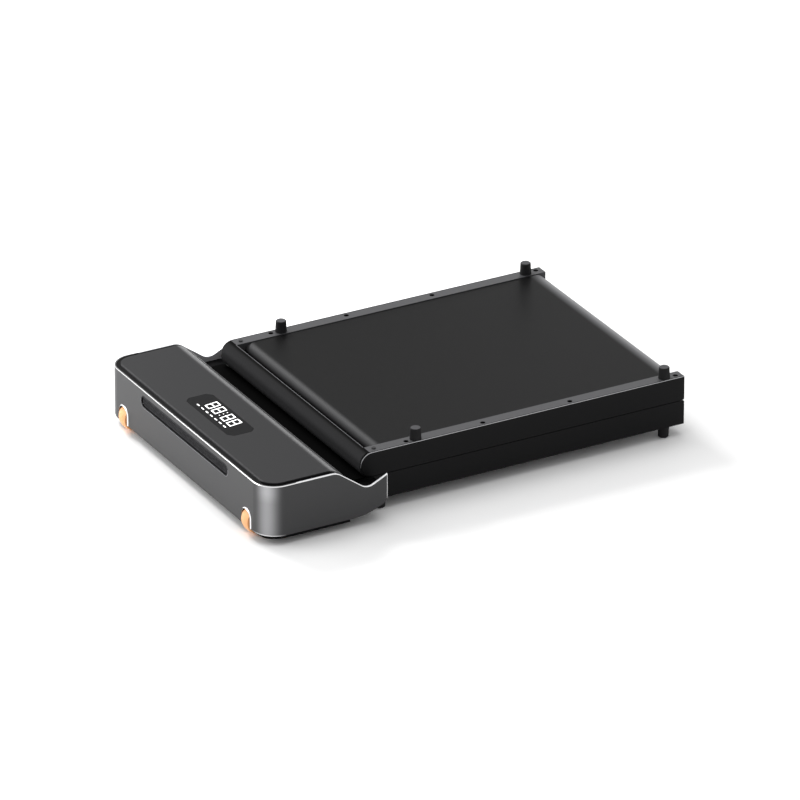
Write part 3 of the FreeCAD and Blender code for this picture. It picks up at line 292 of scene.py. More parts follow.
def blasted_aluminium(colour, bare, inside, tail_end_highlight, bend, pit):
    """Bead-blasted and anodised aluminium: an even grey with a bright cut edge, painted highlights
    on its bends, lower edge and tail ends, a paler painted inside and painted shade on the slot
    walls.
    """
    rough, metal = 0.42, 0.2
    material, tree, body = shader("blasted anodised aluminium", colour, rough, metal,
                                  Specular_IOR_Level=0.3)
    # Blasting grit leaves pits of about 0.15 mm, drawn at 0.9 mm so that they show.
    grain(tree, body, size_mm=0.9, height_mm=0.02)
    low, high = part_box("cowl_band")
    spot = local(tree)
    # The slanted cut is the one surface that faces between upright and flat.
    facing = add(tree, "ShaderNodeNewGeometry").outputs["True Normal"]
    upward = add(tree, SPLIT, {"Vector": facing}).outputs["Z"]
    cut = add(tree, MATH, {0: upward, 1: 0.635, 2: 0.11}, operation="COMPARE")
    # Inside the band the grey is painted paler, as if lit, and the tail ends carry a painted
    # highlight.
    inward = add(tree, MATH, {0: spot["Y"], 1: 0.0, 2: high.y - 1.0 * MM}, operation="COMPARE")
    behind = add(tree, MATH, {0: spot["X"], 1: low.x + 60 * MM}, operation="GREATER_THAN")
    painted_inner_light = add(tree, MATH, {0: inward, 1: behind}, operation="MULTIPLY")
    end = add(tree, MATH, {0: spot["X"], 1: high.x - 0.9 * MM}, operation="GREATER_THAN")
    # The upright bends at the front carry a painted highlight, brightest at the top.
    normal = add(tree, "ShaderNodeNewGeometry").outputs["Normal"]
    turned = add(tree, SPLIT, {"Vector": normal}).outputs
    product = add(tree, MATH, {0: turned["X"], 1: turned["Y"]}, operation="MULTIPLY")
    both = add(tree, MATH, {0: product}, operation="ABSOLUTE")
    bent = add(tree, MATH, {0: both, 1: 2.0}, operation="MULTIPLY")
    fade = add(tree, RAMP, {"Value": spot["Z"], "From Min": high.z - 32 * MM,
                            "From Max": high.z - 14 * MM, "To Min": 0.72})
    narrow = add(tree, MATH, {0: bent, 1: 3.0}, operation="POWER")
    sheen = add(tree, MATH, {0: narrow, 1: fade}, operation="MULTIPLY")
    # A painted highlight runs along the lower edge at the same bends.
    lowest = add(tree, MATH, {0: spot["Z"], 1: low.z + 1.4 * MM}, operation="LESS_THAN")
    low_edge_highlight = add(tree, MATH, {0: lowest, 1: bent}, operation="MULTIPLY")
    # The walls of the slot carry painted shade, as dark as the pits.
    wall = add(tree, MATH, {0: spot["X"], 1: low.x + 5 * MM, 2: 4.7 * MM}, operation="COMPARE")
    first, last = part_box("slot_insert")
    for axis, start, stop in (("Y", first.y, last.y), ("Z", first.z, last.z)):
        within = add(tree, MATH, {0: spot[axis], 1: (start + stop) / 2, 2: (stop - start) / 2},
                     operation="COMPARE")
        wall = add(tree, MATH, {0: wall, 1: within}, operation="MULTIPLY")
    layered(tree, body, "Base Color", colour, (painted_inner_light, inside), (end, tail_end_highlight), (sheen, bend),
            (low_edge_highlight, bare), (wall, pit), (cut, bare))
    layered(tree, body, "Metallic", metal, (cut, 1.0))
    layered(tree, body, "Roughness", rough, (cut, 0.2))
    return material


def extruded_aluminium(colour, inside):
    """Extruded and anodised aluminium: grey, with faint die lines, and painted shade inside the
    tube.
    """
    material, tree, body = shader("extruded anodised aluminium", colour, 0.45, 0.2,
                                  Specular_IOR_Level=0.2)
    # Die lines run along X about 0.3 mm apart, drawn at 1.2 mm so that they show.
    grain(tree, body, size_mm=1.2, height_mm=0.03, stretch=(0.02, 1, 1))
    # Painted shade: the inside of the tube is black.
    wall = 1.5 * MM
    spot = local(tree)
    low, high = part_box("rear_rail_left")
    aside = add(tree, MATH, {0: spot["Y"]}, operation="ABSOLUTE")
    across = add(tree, MATH, {0: aside, 1: -(low.y + high.y) / 2,
                              2: (high.y - low.y) / 2 - wall}, operation="COMPARE")
    middle = (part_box("front_rail_left")[0].z + high.z) / 2
    above = add(tree, MATH, {0: spot["Z"], 1: middle}, operation="SUBTRACT")
    height = add(tree, MATH, {0: above}, operation="ABSOLUTE")
    deep = add(tree, MATH, {0: height, 1: (low.z + high.z) / 2 - middle,
                            2: (high.z - low.z) / 2 - wall}, operation="COMPARE")
    within = add(tree, MATH, {0: across, 1: deep}, operation="MULTIPLY")
    # The faces within 2.5 mm of the middle, the walking sides, are as black as the inside.
    walked = add(tree, MATH, {0: height, 1: 2.5 * MM}, operation="LESS_THAN")
    dark = add(tree, MATH, {0: within, 1: walked}, operation="MAXIMUM")
    layered(tree, body, "Base Color", colour, (dark, inside))
    return material


def moulded_abs(name, colour, roughness, shine=0.1):
    """Injection-moulded ABS with an etched texture: dull, with a faint even sheen."""
    material, tree, body = shader(name, colour, roughness, Specular_IOR_Level=shine)
    # The etched texture is about 0.25 mm, drawn at 1 mm so that it shows.
    grain(tree, body, size_mm=1.0, height_mm=0.02)
    return material


def mottled_abs(colour, pale):
    """Coarsely etched ABS of the slot insert: dark grey with soft paler patches."""
    material, tree, body = shader("etched dark ABS", colour, 0.6, Specular_IOR_Level=0.02)
    # The etching is in patches of about 5 mm.
    spots = grain(tree, body, size_mm=5.0, height_mm=0.1)
    layered(tree, body, "Base Color", colour, (spots, pale))
    return material


def rear_edge_sheen_abs(name, colour, edge, roughness, shine):
    """The same ABS on the cowl top, with a painted highlight along the rounded rear edge where it
    turns down.
    """
    material, tree, body = shader(name, colour, roughness, Specular_IOR_Level=shine)
    grain(tree, body, size_mm=1.0, height_mm=0.02)
    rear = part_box("cowl_top")[1].x
    ramp = add(tree, RAMP, {"Value": local(tree)["X"], "From Min": rear - 26 * MM,
                            "From Max": rear - 17 * MM}, interpolation_type="SMOOTHSTEP")
    layered(tree, body, "Base Color", colour, (ramp, edge))
    return material


def polished_abs(name, colour, roughness, shine):
    """ABS moulded against a polished tool: black with clear reflections."""
    return shader(name, colour, roughness, Specular_IOR_Level=shine)[0]


def lipped_abs(name, colour, groove, roughness, lip):
    """Black ABS of the end cover: a painted grey sheen that dies away to plain black in the groove
    next to its lip.
    """
    material, tree, body = shader(name, colour, roughness, Specular_IOR_Level=0.01)
    ramp = add(tree, RAMP, {"Value": local(tree)["X"], "From Min": lip - 17 * MM,
                            "From Max": lip - 4 * MM})
    layered(tree, body, "Base Color", colour, (ramp, groove))
    return material


def smoked_acrylic(colour):
    """Smoked acrylic sheet: near black, smooth and a little reflective."""
    return shader("smoked acrylic", colour, 0.3, Specular_IOR_Level=0.03)[0]


def lit_diffuser(colour):
    """White diffuser over a lamp: an even white glow with no shading."""
    return shader("lit white diffuser", colour, 0.5, Emission_Color=colour,
                  Emission_Strength=1.0)[0]


def cut_aluminium(name, colour, roughness):
    """Diamond-cut aluminium edge: a bright line."""
    return shader(name, colour, roughness, metallic=1.0)[0]


def turned_steel(name, colour, roughness):
    """Turned and plated steel: a soft grey reflection."""
    material, tree, body = shader(name, colour, roughness, metallic=1.0)
    # Tool marks are about 0.1 mm apart, drawn at 0.8 mm so that they show.
    grain(tree, body, size_mm=0.8, height_mm=0.01)
    return material


def powder_coat(colour):
    """Powder-coated steel: black with a fine orange-peel surface."""
    material, tree, body = shader("black powder-coated steel", colour, 0.48,
                                  Specular_IOR_Level=0.2)
    # Orange peel is about 1.5 mm from crest to crest.
    grain(tree, body, size_mm=1.5, height_mm=0.03)
    return material


def machined_aluminium(colour):
    """Machined aluminium, left bare: pale grey with a soft sheen."""
    material, tree, body = shader("machined aluminium", colour, 0.35, metallic=1.0)
    # Cutter marks are about 0.1 mm apart, drawn at 0.6 mm so that they show.
    grain(tree, body, size_mm=0.6, height_mm=0.01)
    return material


def plain_brass(colour):
    """Turned brass pins: yellow metal, bright."""
    return shader("turned brass", colour, 0.25, metallic=1.0)[0]


def solder_mask(colour):
    """Glass-fibre board under solder mask: deep green and glossy."""
    return shader("solder-masked circuit board", colour, 0.3, IOR=1.5)[0]


def fibreboard(colour, dark):
    """Dense fibreboard: brown, with short pressed fibres."""
    material, tree, body = shader("dense fibreboard", colour, 0.7)
    # Fibres are about 2 mm wide and 5 mm long.
    spots = grain(tree, body, size_mm=2.0, height_mm=0.03, stretch=(0.4, 1, 1), detail=4.0)
    layered(tree, body, "Base Color", dark, (spots, colour))
    return material


def moulded_rubber(colour, sole):
    """Moulded rubber: matt black, with greyer soles where it meets the floor; on the upturned rear
    feet this grey is a painted highlight on their tops.
    """
    material, tree, body = shader("moulded rubber", colour, 0.62, Specular_IOR_Level=0.1)
    # The mould's texture is about 0.3 mm, drawn at 1.2 mm so that it shows.
    grain(tree, body, size_mm=1.2, height_mm=0.03)
    low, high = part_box("front_feet")[0].z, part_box("rear_feet")[1].z
    above = add(tree, MATH, {0: local(tree)["Z"], 1: (low + high) / 2}, operation="SUBTRACT")
    away = add(tree, MATH, {0: above}, operation="ABSOLUTE")
    end = add(tree, MATH, {0: away, 1: (high - low) / 2 - 0.2 * MM}, operation="GREATER_THAN")
    layered(tree, body, "Base Color", colour, (end, sole))
    return material


def belt_fabric(colour, pale, bent):
    """Belt with an embossed PVC face: dull black, with a fine crossed weave and painted highlights
    on its bends.
    """
    material, tree, body = shader("embossed PVC belt", colour, 0.42, Specular_IOR_Level=0.04)
    # The embossed weave is about 0.8 mm from rib to rib, drawn at 2.4 mm so that it shows.
    rib_mm = 2.4
    place = add(tree, "ShaderNodeTexCoord").outputs["Object"]
    waves = []
    for turn in (45, -45):
        turned = add(tree, "ShaderNodeMapping", {"Vector": place,
                                                 "Rotation": (0, 0, math.radians(turn))})
        wave = add(tree, "ShaderNodeTexWave", {"Vector": turned, "Distortion": 0.0,
                                               "Scale": 1000 / rib_mm / 20 * math.tau},
                   bands_direction="X")
        waves.append(wave.outputs["Fac"])
    weave = add(tree, MATH, {0: waves[0], 1: waves[1]}, operation="MULTIPLY")
    bump = add(tree, "ShaderNodeBump", {"Height": weave, "Strength": 0.4, "Distance": 0.08 * MM})
    tree.links.new(bump.outputs["Normal"], body.inputs["Normal"])
    # A painted highlight makes the outer face paler next to the fold.
    normal = add(tree, "ShaderNodeNewGeometry").outputs["Normal"]
    facing = add(tree, "ShaderNodeVectorTransform", {"Vector": normal}, vector_type="NORMAL",
                 convert_from="WORLD", convert_to="OBJECT")
    side = add(tree, SPLIT, {"Vector": facing}).outputs
    level = add(tree, MATH, {0: side["Z"]}, operation="ABSOLUTE")
    low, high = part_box("belt_fold")
    spot = local(tree)
    above = add(tree, MATH, {0: spot["Z"], 1: (low.z + high.z) / 2}, operation="SUBTRACT")
    away = add(tree, MATH, {0: above}, operation="ABSOLUTE")
    outer = add(tree, MATH, {0: away, 1: 32 * MM}, operation="GREATER_THAN")
    close = add(tree, RAMP, {"Value": spot["X"], "From Min": high.x - 34 * MM,
                             "From Max": high.x - 10 * MM}, interpolation_type="SMOOTHSTEP")
    flat = add(tree, RAMP, {"Value": level, "From Min": 0.2, "From Max": 0.7})
    fold = add(tree, MATH, {0: close, 1: flat}, operation="MULTIPLY")
    # A weaker painted highlight sits where it bends over the rear roller.
    ahead = add(tree, MATH, {0: side["X"], 1: -2.0}, operation="MULTIPLY")
    ahead = add(tree, MATH, {0: ahead, 1: 0.0}, operation="MAXIMUM")
    square = add(tree, MATH, {0: level, 1: level}, operation="MULTIPLY")
    ahead = add(tree, MATH, {0: ahead, 1: square}, operation="MULTIPLY")
    square = add(tree, MATH, {0: ahead, 1: ahead}, operation="MULTIPLY")
    roll = add(tree, MATH, {0: square, 1: 0.3}, operation="MULTIPLY")
    either = add(tree, MATH, {0: fold, 1: roll}, operation="MAXIMUM")
    bend_sheen_mask = add(tree, MATH, {0: either, 1: outer}, operation="MULTIPLY")
    layered(tree, body, "Base Color", colour, (weave, pale), (bend_sheen_mask, bent))
    return material


def cast_polyurethane(colour):
    """Cast polyurethane wheel tread: pale orange, waxy, with a soft shine."""
    material, tree, body = shader("cast polyurethane", colour, 0.42, Specular_IOR_Level=0.4)
    # The cast face ripples about every 1.5 mm.
    grain(tree, body, size_mm=1.5, height_mm=0.02)
    return material


# What a user may change

def length(name, words, value):
    """A length property, given in millimetres."""
    return bpy.props.FloatProperty(name=name, description=words, default=value * MM, min=0.0,
                                   unit="LENGTH")


def tint(name, words, code):
    """A colour property, given as sRGB hex."""
    return bpy.props.FloatVectorProperty(name=name, description=words, default=rgb(code), size=4,
                                         min=0.0, max=1.0, subtype="COLOR")


class PadSizes(bpy.types.PropertyGroup):
    """Sizes of the small parts."""
    digit_height: length("Digit height", "Height of a display digit", 25.2)
    digit_width: length("Digit width", "Width of a digit between its upright bars", 13.6)
    digit_pitch: length("Digit pitch", "From one digit to the next", 21.8)
    colon_pitch: length("Colon pitch", "From the digit before the colon to the one after", 31.6)
    bar_width: length("Bar width", "Width of a digit's bars", 2.2)
    mark_height: length("Mark height", "How far a lit mark stands up from the window", 0.1)
    dash_length: length("Dash length", "Length of a dash under the digits", 8.5)
    dash_pitch: length("Dash pitch", "From one dash to the next", 15.5)
    dash_width: length("Dash width", "Width of a dash under the digits", 2.2)
    pit_radius: length("Pit radius", "Radius of a pit in the slot insert", 0.9)
    pit_pitch: length("Pit pitch", "From one pit to the next", 3.2)
    slot_rim: length("Slot rim", "Width of the dark rim round the slot", 2.2)
    slot_lip: length("Slot lip", "Width of the pale lip under the slot", 1.2)
    notch_trim: length("Notch trim", "Width of the bright rim round a wheel notch", 1.8)
    notch_rise: length("Notch rise", "How far the bright rim stands out from the band", 1.4)
    edge_cut: length("Edge cut", "Width of the bright cut along the side covers", 0.7)
    lip: length("Lip", "Thickness of the end cover's lip", 1.4)


class PadColours(bpy.types.PropertyGroup):
    """Colours of the finishes."""
    band: tint("Band", "Cowl band and its tails", "#3a3a3b")
    bare: tint("Bare edge", "Bright cut edge of the band and rims of the notches", "#f0f0f1")
    cut: tint("Cover cut", "Cut edge along the side covers", "#a4a4a6")
    # Painted light: the inside of the band is painted paler, as if lit.
    inside: tint("Band inside", "Inside of the band and its tails", "#bcbcbf")
    # Painted highlight along the ends of the tails.
    tail_end_highlight: tint("Tail ends", "Ends of the band's tails", "#e6e6e8")
    # Painted highlight on the bends at the front of the band.
    bend: tint("Band bend", "Paler bends at the front of the band", "#b4b4b6")
    # Painted highlight on the lip of the end cover.
    lip: tint("Lip", "Lip of the end cover", "#4a4a4c")
    top: tint("Top", "Cowl top", "#282829")
    # Painted highlight along the rear edge of the cowl top.
    top_edge_sheen: tint("Top edge", "Rear edge of the cowl top", "#666667")
    gloss: tint("Gloss black", "Bezel, apron and the groove of the end cover", "#050505")
    # Painted sheen on the end cover away from its lip.
    cover: tint("End cover", "End cover away from its lip", "#323233")
    satin: tint("Satin black", "Side covers, fillers, tray, inlet and switch", "#0b0b0c")
    window: tint("Window", "Display window", "#161617")
    lamp: tint("Lamp", "Lit digits and dashes", "#ffffff")
    insert: tint("Insert", "Slot insert", "#1e1e1f")
    insert_pale: tint("Insert patches", "Paler patches of the slot insert", "#48484a")
    # Painted highlight: the pale lip under the slot.
    rim: tint("Slot lip", "Pale lip under the slot", "#8c8c90")
    # Painted shade in the pits and on the walls of the slot.
    pit: tint("Pit", "Pits in the slot insert and walls of the slot", "#080808")
    rail: tint("Rail", "Rails", "#3e3e40")
    # Painted shade inside the rails; the same black is on their walking sides.
    tube: tint("Tube inside", "Inside and walking side of the rails", "#020202")
    belt: tint("Belt", "Walking belt", "#080808")
    belt_pale: tint("Belt weave", "Raised threads of the belt", "#171718")
    # Painted highlight on the belt where it bends.
    belt_bend_sheen: tint("Belt bends", "Belt where it is stretched over a bend", "#707072")
    rubber: tint("Rubber", "Feet, dampers and drive belt", "#1c1c1d")
    # On the upturned rear feet the sole grey is a painted highlight.
    sole: tint("Sole", "Worn soles of the feet", "#434345")
    wheel: tint("Wheel", "Transport wheels", "#f2b078")
    steel: tint("Steel", "Forks, axles, bearings, pins, links and rollers", "#b9b9bb")
    screw: tint("Blackened steel", "Screws, bolts, hinge blocks and idlers", "#2a2a2b")
    dark_steel: tint("Coated steel", "Cross members, motor and bracket", "#1c1c1d")
    alloy: tint("Alloy", "Pulleys and heat sink", "#c4c4c6")
    brass: tint("Brass", "Inlet pins", "#c9a24a")
    board: tint("Circuit board", "Boards", "#0f5a34")
    deck: tint("Deck", "Deck boards", "#8a6a48")
    deck_dark: tint("Deck fibres", "Darker fibres of the deck boards", "#6d5136")
    floor: tint("Floor", "Floor", "#f4f4f4")


# Geometry Nodes

def new_tree(name, sizes):
    """An empty tree with named inputs for its points, sizes and material."""
    tree = bpy.data.node_groups.new(name, "GeometryNodeTree")
    face = tree.interface
    face.new_socket("Geometry", in_out="INPUT", socket_type="NodeSocketGeometry")
    for size in sizes:
        face.new_socket(size, in_out="INPUT", socket_type="NodeSocketFloat")
    face.new_socket("Material", in_out="INPUT", socket_type="NodeSocketMaterial")
    face.new_socket("Geometry", in_out="OUTPUT", socket_type="NodeSocketGeometry")
    return tree, add(tree, "NodeGroupInput").outputs


def marks_tree():
    """Rounded marks, one on each point, leaning over as they go up."""
    tree, given = new_tree("lit_marks", ("Width", "Length", "Corner", "Height", "Lean"))
    outline = add(tree, "GeometryNodeCurvePrimitiveQuadrilateral",
                  {"Width": given["Length"], "Height": given["Width"]})
    rounded = add(tree, "GeometryNodeFilletCurve",
                  {"Curve": outline, "Radius": given["Corner"], "Count": 4, "Limit Radius": True},
                  mode="POLY")
    flat = add(tree, "GeometryNodeFillCurve", {"Curve": rounded}, mode="NGONS")
    raised = add(tree, "GeometryNodeExtrudeMesh",
                 {"Mesh": flat, "Offset Scale": given["Height"], "Individual": False},
                 mode="FACES")
    under = add(tree, "GeometryNodeFlipFaces", {"Mesh": flat})
    both = add(tree, "GeometryNodeJoinGeometry")
    tree.links.new(raised.outputs["Mesh"], both.inputs["Geometry"])
    tree.links.new(under.outputs["Mesh"], both.inputs["Geometry"])
    solid = add(tree, "GeometryNodeMergeByDistance", {"Geometry": both, "Distance": SAME_POINT})
    turn = add(tree, "GeometryNodeInputNamedAttribute", {"Name": "turn"},
               data_type="FLOAT_VECTOR")
    placed = add(tree, "GeometryNodeInstanceOnPoints",
                 {"Points": given["Geometry"], "Instance": solid,
                  "Rotation": turn.outputs["Attribute"]})
    real = add(tree, "GeometryNodeRealizeInstances", {"Geometry": placed})
    spot = add(tree, SPLIT, {"Vector": add(tree, "GeometryNodeInputPosition")})
    shift = add(tree, MATH, {0: spot.outputs["Y"], 1: given["Lean"]}, operation="MULTIPLY")
    offset = add(tree, "ShaderNodeCombineXYZ", {"X": shift})
    leaned = add(tree, "GeometryNodeSetPosition", {"Geometry": real, "Offset": offset})
    coloured = add(tree, "GeometryNodeSetMaterial",
                   {"Geometry": leaned, "Material": given["Material"]})
    add(tree, "NodeGroupOutput", {"Geometry": coloured})
    return tree


def pits_tree():
    """Short round plugs, one on each point of the mesh."""
    tree, given = new_tree("insert_pits", ("Radius", "Depth"))
    plug = add(tree, "GeometryNodeMeshCylinder",
               {"Vertices": 8, "Radius": given["Radius"], "Depth": given["Depth"]})
    placed = add(tree, "GeometryNodeInstanceOnPoints",
                 {"Points": given["Geometry"], "Instance": plug,
                  "Rotation": (0.0, math.pi / 2, 0.0)})
    real = add(tree, "GeometryNodeRealizeInstances", {"Geometry": placed})
    coloured = add(tree, "GeometryNodeSetMaterial",
                   {"Geometry": real, "Material": given["Material"]})
    add(tree, "NodeGroupOutput", {"Geometry": coloured})
    return tree


def points(name, spots, turns=None):
    """A mesh of loose points, each with its turn about the upright axis."""
    mesh = bpy.data.meshes.new(name)
    mesh.from_pydata([tuple(s) for s in spots], [], [])
    turned = mesh.attributes.new("turn", "FLOAT_VECTOR", "POINT")
    for i, angle in enumerate(turns or [0.0] * len(spots)):
        turned.data[i].vector = (0.0, 0.0, angle)
    return shown(name, mesh)


# Pieces

class PAD_OT_cowl(bpy.types.Operator):
    """Finish the cowl: band, bezel, top, apron, tray, fillers, inlet and switch."""
    bl_idname = "pad.cowl"
    bl_label = "Cowl"

    def execute(self, context):
        colours = context.scene.pad_colours
        paint(blasted_aluminium(colours.band, colours.bare, colours.inside, colours.tail_end_highlight,
                                colours.bend, colours.pit), "cowl_band")
        paint(rear_edge_sheen_abs("satin grey ABS", colours.top, colours.top_edge_sheen, 0.45, 0.06), "cowl_top")
        paint(polished_abs("polished black ABS", colours.gloss, 0.2, 0.04), "cowl_bezel")
        paint(polished_abs("deep black ABS", colours.gloss, 0.6, 0.005), "rear_apron")
        paint(moulded_abs("satin black ABS", colours.satin, 0.5, 0.02), "base_tray",
              "tail_fillers", "power_inlet", "switch_frame", "switch_rocker")
        return {"FINISHED"}


class PAD_OT_slot(bpy.types.Operator):
    """Finish the slot insert, sink its rows of pits and put a rim and a lip round the slot."""
    bl_idname = "pad.slot"
    bl_label = "Slot insert"

    def execute(self, context):
        sizes, colours = context.scene.pad_sizes, context.scene.pad_colours
        paint(mottled_abs(colours.insert, colours.insert_pale), "slot_insert")
        mesh = NODES["slot_insert"].data
        front = [p for p in mesh.polygons if p.normal.x < -0.95]
        face = max(front, key=lambda p: p.area)
        corner = mesh.vertices[face.vertices[0]].co
        low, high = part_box("slot_insert")
        rows, spots = 0, []
        z = low.z + PIT_FOOT
        while z < high.z - PIT_HEAD:
            y = -PIT_REACH + (rows % 2) * sizes.pit_pitch / 2
            while y < PIT_REACH:
                x = corner.x - (face.normal.z * (z - corner.z)) / face.normal.x
                spots.append((x, y, z))
                y += sizes.pit_pitch
            z += sizes.pit_pitch * ROW_SHARE
            rows += 1
        pit = moulded_abs("shaded pit", colours.pit, 0.7, 0.0)
        pits = grown(points("slot_pits", spots), pits_tree(),
                     {"Radius": sizes.pit_radius, "Depth": PIT_DEPTH, "Material": pit})
        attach(pits, "front_half")
        end = (high.z - low.z) / 2 - SLOT_FLANGE
        straight = high.y - SLOT_FLANGE - end
        middle = (low.z + high.z) / 2
        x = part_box("cowl_band")[0].x

        def along_slot(out, steps):
            """Points round the slot's edge, this far outside it."""
            radius = end + out
            turns = [math.pi * (k + 0.5) / SLOT_END_STEPS for k in steps]
            return [Vector((x, math.copysign(straight, math.cos(t)) + radius * math.cos(t),
                            middle + radius * math.sin(t))) for t in turns]

        width = sizes.slot_rim
        whole = along_slot(width / 2, range(2 * SLOT_END_STEPS))
        dark = mottled_abs(colours.insert, colours.insert_pale)
        rim = piece("slot_rim", *tube(whole, width / 2, 8, True, 0.3), dark, True)
        under = along_slot(width, range(SLOT_END_STEPS - 2, 2 * SLOT_END_STEPS + 2))
        # The pale lip under the slot is a painted highlight.
        pale = moulded_abs("pale slot lip", colours.rim, 0.5)
        lip = piece("slot_lip", *tube(under, sizes.slot_lip / 2, 8, False, 0.5), pale, True)
        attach(lip, "front_half")
        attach(rim, "front_half")
        return {"FINISHED"}


class PAD_OT_display(bpy.types.Operator):
    """Finish the display window and light its digits and dashes."""
    bl_idname = "pad.display"
    bl_label = "Display"

    def execute(self, context):
        sizes, colours = context.scene.pad_sizes, context.scene.pad_colours
        paint(smoked_acrylic(colours.window), "display_window")
        paint(solder_mask(colours.board), "display_board", "controller_board")
        lamp = lit_diffuser(colours.lamp)
        half = sizes.digit_height / 2 - sizes.bar_width / 2
        side = sizes.digit_width / 2
        first = sizes.colon_pitch / 2
        bars, turns = [], []
        for u in (-first - sizes.digit_pitch, -first, first, first + sizes.digit_pitch):
            for v in (-half, 0.0, half):
                bars.append((u, v, 0.0))
                turns.append(0.0)
            for v in (-half / 2, half / 2):
                bars += [(u - side, v, 0.0), (u + side, v, 0.0)]
                turns += [math.pi / 2] * 2
        pips = [(0.0, v, 0.0) for v in (-half * PIP_SHARE, 0.0, half * PIP_SHARE)]
        dashes = [((i - 3) * sizes.dash_pitch, 0.0, 0.0) for i in range(7)]
        wide = sizes.bar_width
        made = (
            ("display_digits", bars, turns, DIGITS_BACK, 0.0, sizes.digit_width, wide, DIGIT_LEAN),
            ("display_pips", pips, None, DIGITS_BACK, 0.0, wide, wide, DIGIT_LEAN),
            ("display_dashes", dashes, None, DASHES_BACK, DASHES_ASIDE, sizes.dash_length,
             sizes.dash_width, 0.0),
        )
        tree = marks_tree()
        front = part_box("cowl_band")[0].x
        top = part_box("display_window")[1].z
        for name, spots, turned, back, aside, long, thick, lean in made:
            obj = grown(points(name, spots, turned), tree,
                        {"Width": thick, "Length": long, "Corner": thick / 2,
                         "Height": sizes.mark_height, "Lean": lean, "Material": lamp})
            # The marks read from the cowl's front: right is -Y and up the glass is +X.
            for v in obj.data.vertices:
                u, w, t = v.co
                v.co = (front + back + w, aside - u, top - MARK_SINK + t)
            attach(obj, "front_half")
        return {"FINISHED"}


class PAD_OT_wheels(bpy.types.Operator):
    """Finish the transport wheels and put a bright rim round their notches."""
    bl_idname = "pad.wheels"
    bl_label = "Transport wheels"

    def execute(self, context):
        sizes, colours = context.scene.pad_sizes, context.scene.pad_colours
        paint(cast_polyurethane(colours.wheel), "wheel_left", "wheel_right")
        bright = cut_aluminium("diamond-cut rim", colours.bare, 0.3)
        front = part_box("cowl_band")[0]
        foot = front.z + NOTCH_FOOT
        for side in ("left", "right"):
            low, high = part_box("wheel_" + side)
            middle = (low.y + high.y) / 2
            half = (high.y - low.y) / 2 + NOTCH_SIDE
            arch = [Vector((middle - half, foot))]
            for start, centre in ((math.pi, -1), (math.pi / 2, 1)):
                for k in range(CORNER_STEPS + 1):
                    turn = start - k * math.pi / (2 * CORNER_STEPS)
                    across = centre * (half - NOTCH_CORNER) + NOTCH_CORNER * math.cos(turn)
                    height = NOTCH_TOP - NOTCH_CORNER + NOTCH_CORNER * math.sin(turn)
                    arch.append(Vector((middle + across, height)))
            arch.append(Vector((middle + half, foot)))
            rim = flare(arch, front.x - HAIR, sizes.notch_rise, sizes.notch_trim)
            trim = piece("notch_trim_" + side, *rim, bright)
            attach(trim, "front_half")
        return {"FINISHED"}


class PAD_OT_deck(bpy.types.Operator):
    """Finish the rails, side covers, end cover, decks, dampers and feet."""
    bl_idname = "pad.deck"
    bl_label = "Deck halves"

    def execute(self, context):
        sizes, colours = context.scene.pad_sizes, context.scene.pad_colours
        paint(extruded_aluminium(colours.rail, colours.tube), "front_rail_left",
              "front_rail_right", "rear_rail_left", "rear_rail_right")
        paint(fibreboard(colours.deck, colours.deck_dark), "front_deck", "rear_deck")
        paint(moulded_rubber(colours.rubber, colours.sole), "front_feet", "rear_feet",
              "front_dampers", "rear_dampers", "drive_belt")
        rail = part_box("rear_rail_left")
        edge = rail[0].x - LIP_AHEAD - sizes.lip / 2
        # The end cover's grey away from its lip is a painted sheen.
        paint(lipped_abs("moulded satin ABS", colours.cover, colours.gloss, 0.5, edge),
              "end_cover")
        wide = -rail[1].y - LIP_ASIDE
        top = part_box("end_cover")[1].z
        ends = [Vector((edge, wide, top)), Vector((edge, -wide, top))]
        # The lip's grey is a painted highlight along the cover's edge.
        lip = piece("end_cover_lip", *tube(ends, sizes.lip / 2),
                    moulded_abs("grey lip ABS", colours.lip, 0.45), True)
        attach(lip, "rear_half")
        cover = moulded_abs("satin side cover ABS", colours.satin, 0.42, 0.1)
        bright = cut_aluminium("diamond-cut side edge", colours.cut, 0.45)
        paint(cover, "front_side_cover_left", "front_side_cover_right")
        for side, out in (("left", -1), ("right", 1)):
            node = "rear_side_cover_" + side
            low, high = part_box(node)
            face = low.y if out < 0 else high.y
            middle = (low.z + high.z) / 2

            def outer_top(edge):
                return all(abs(v.co.y - face) < 0.05 * MM and v.co.z > middle
                           for v in edge.verts)

            obj = trimmed(node, node + "_cut", sizes.edge_cut, outer_top, (cover, bright))
            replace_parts(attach(obj, "rear_half"), node)
        return {"FINISHED"}


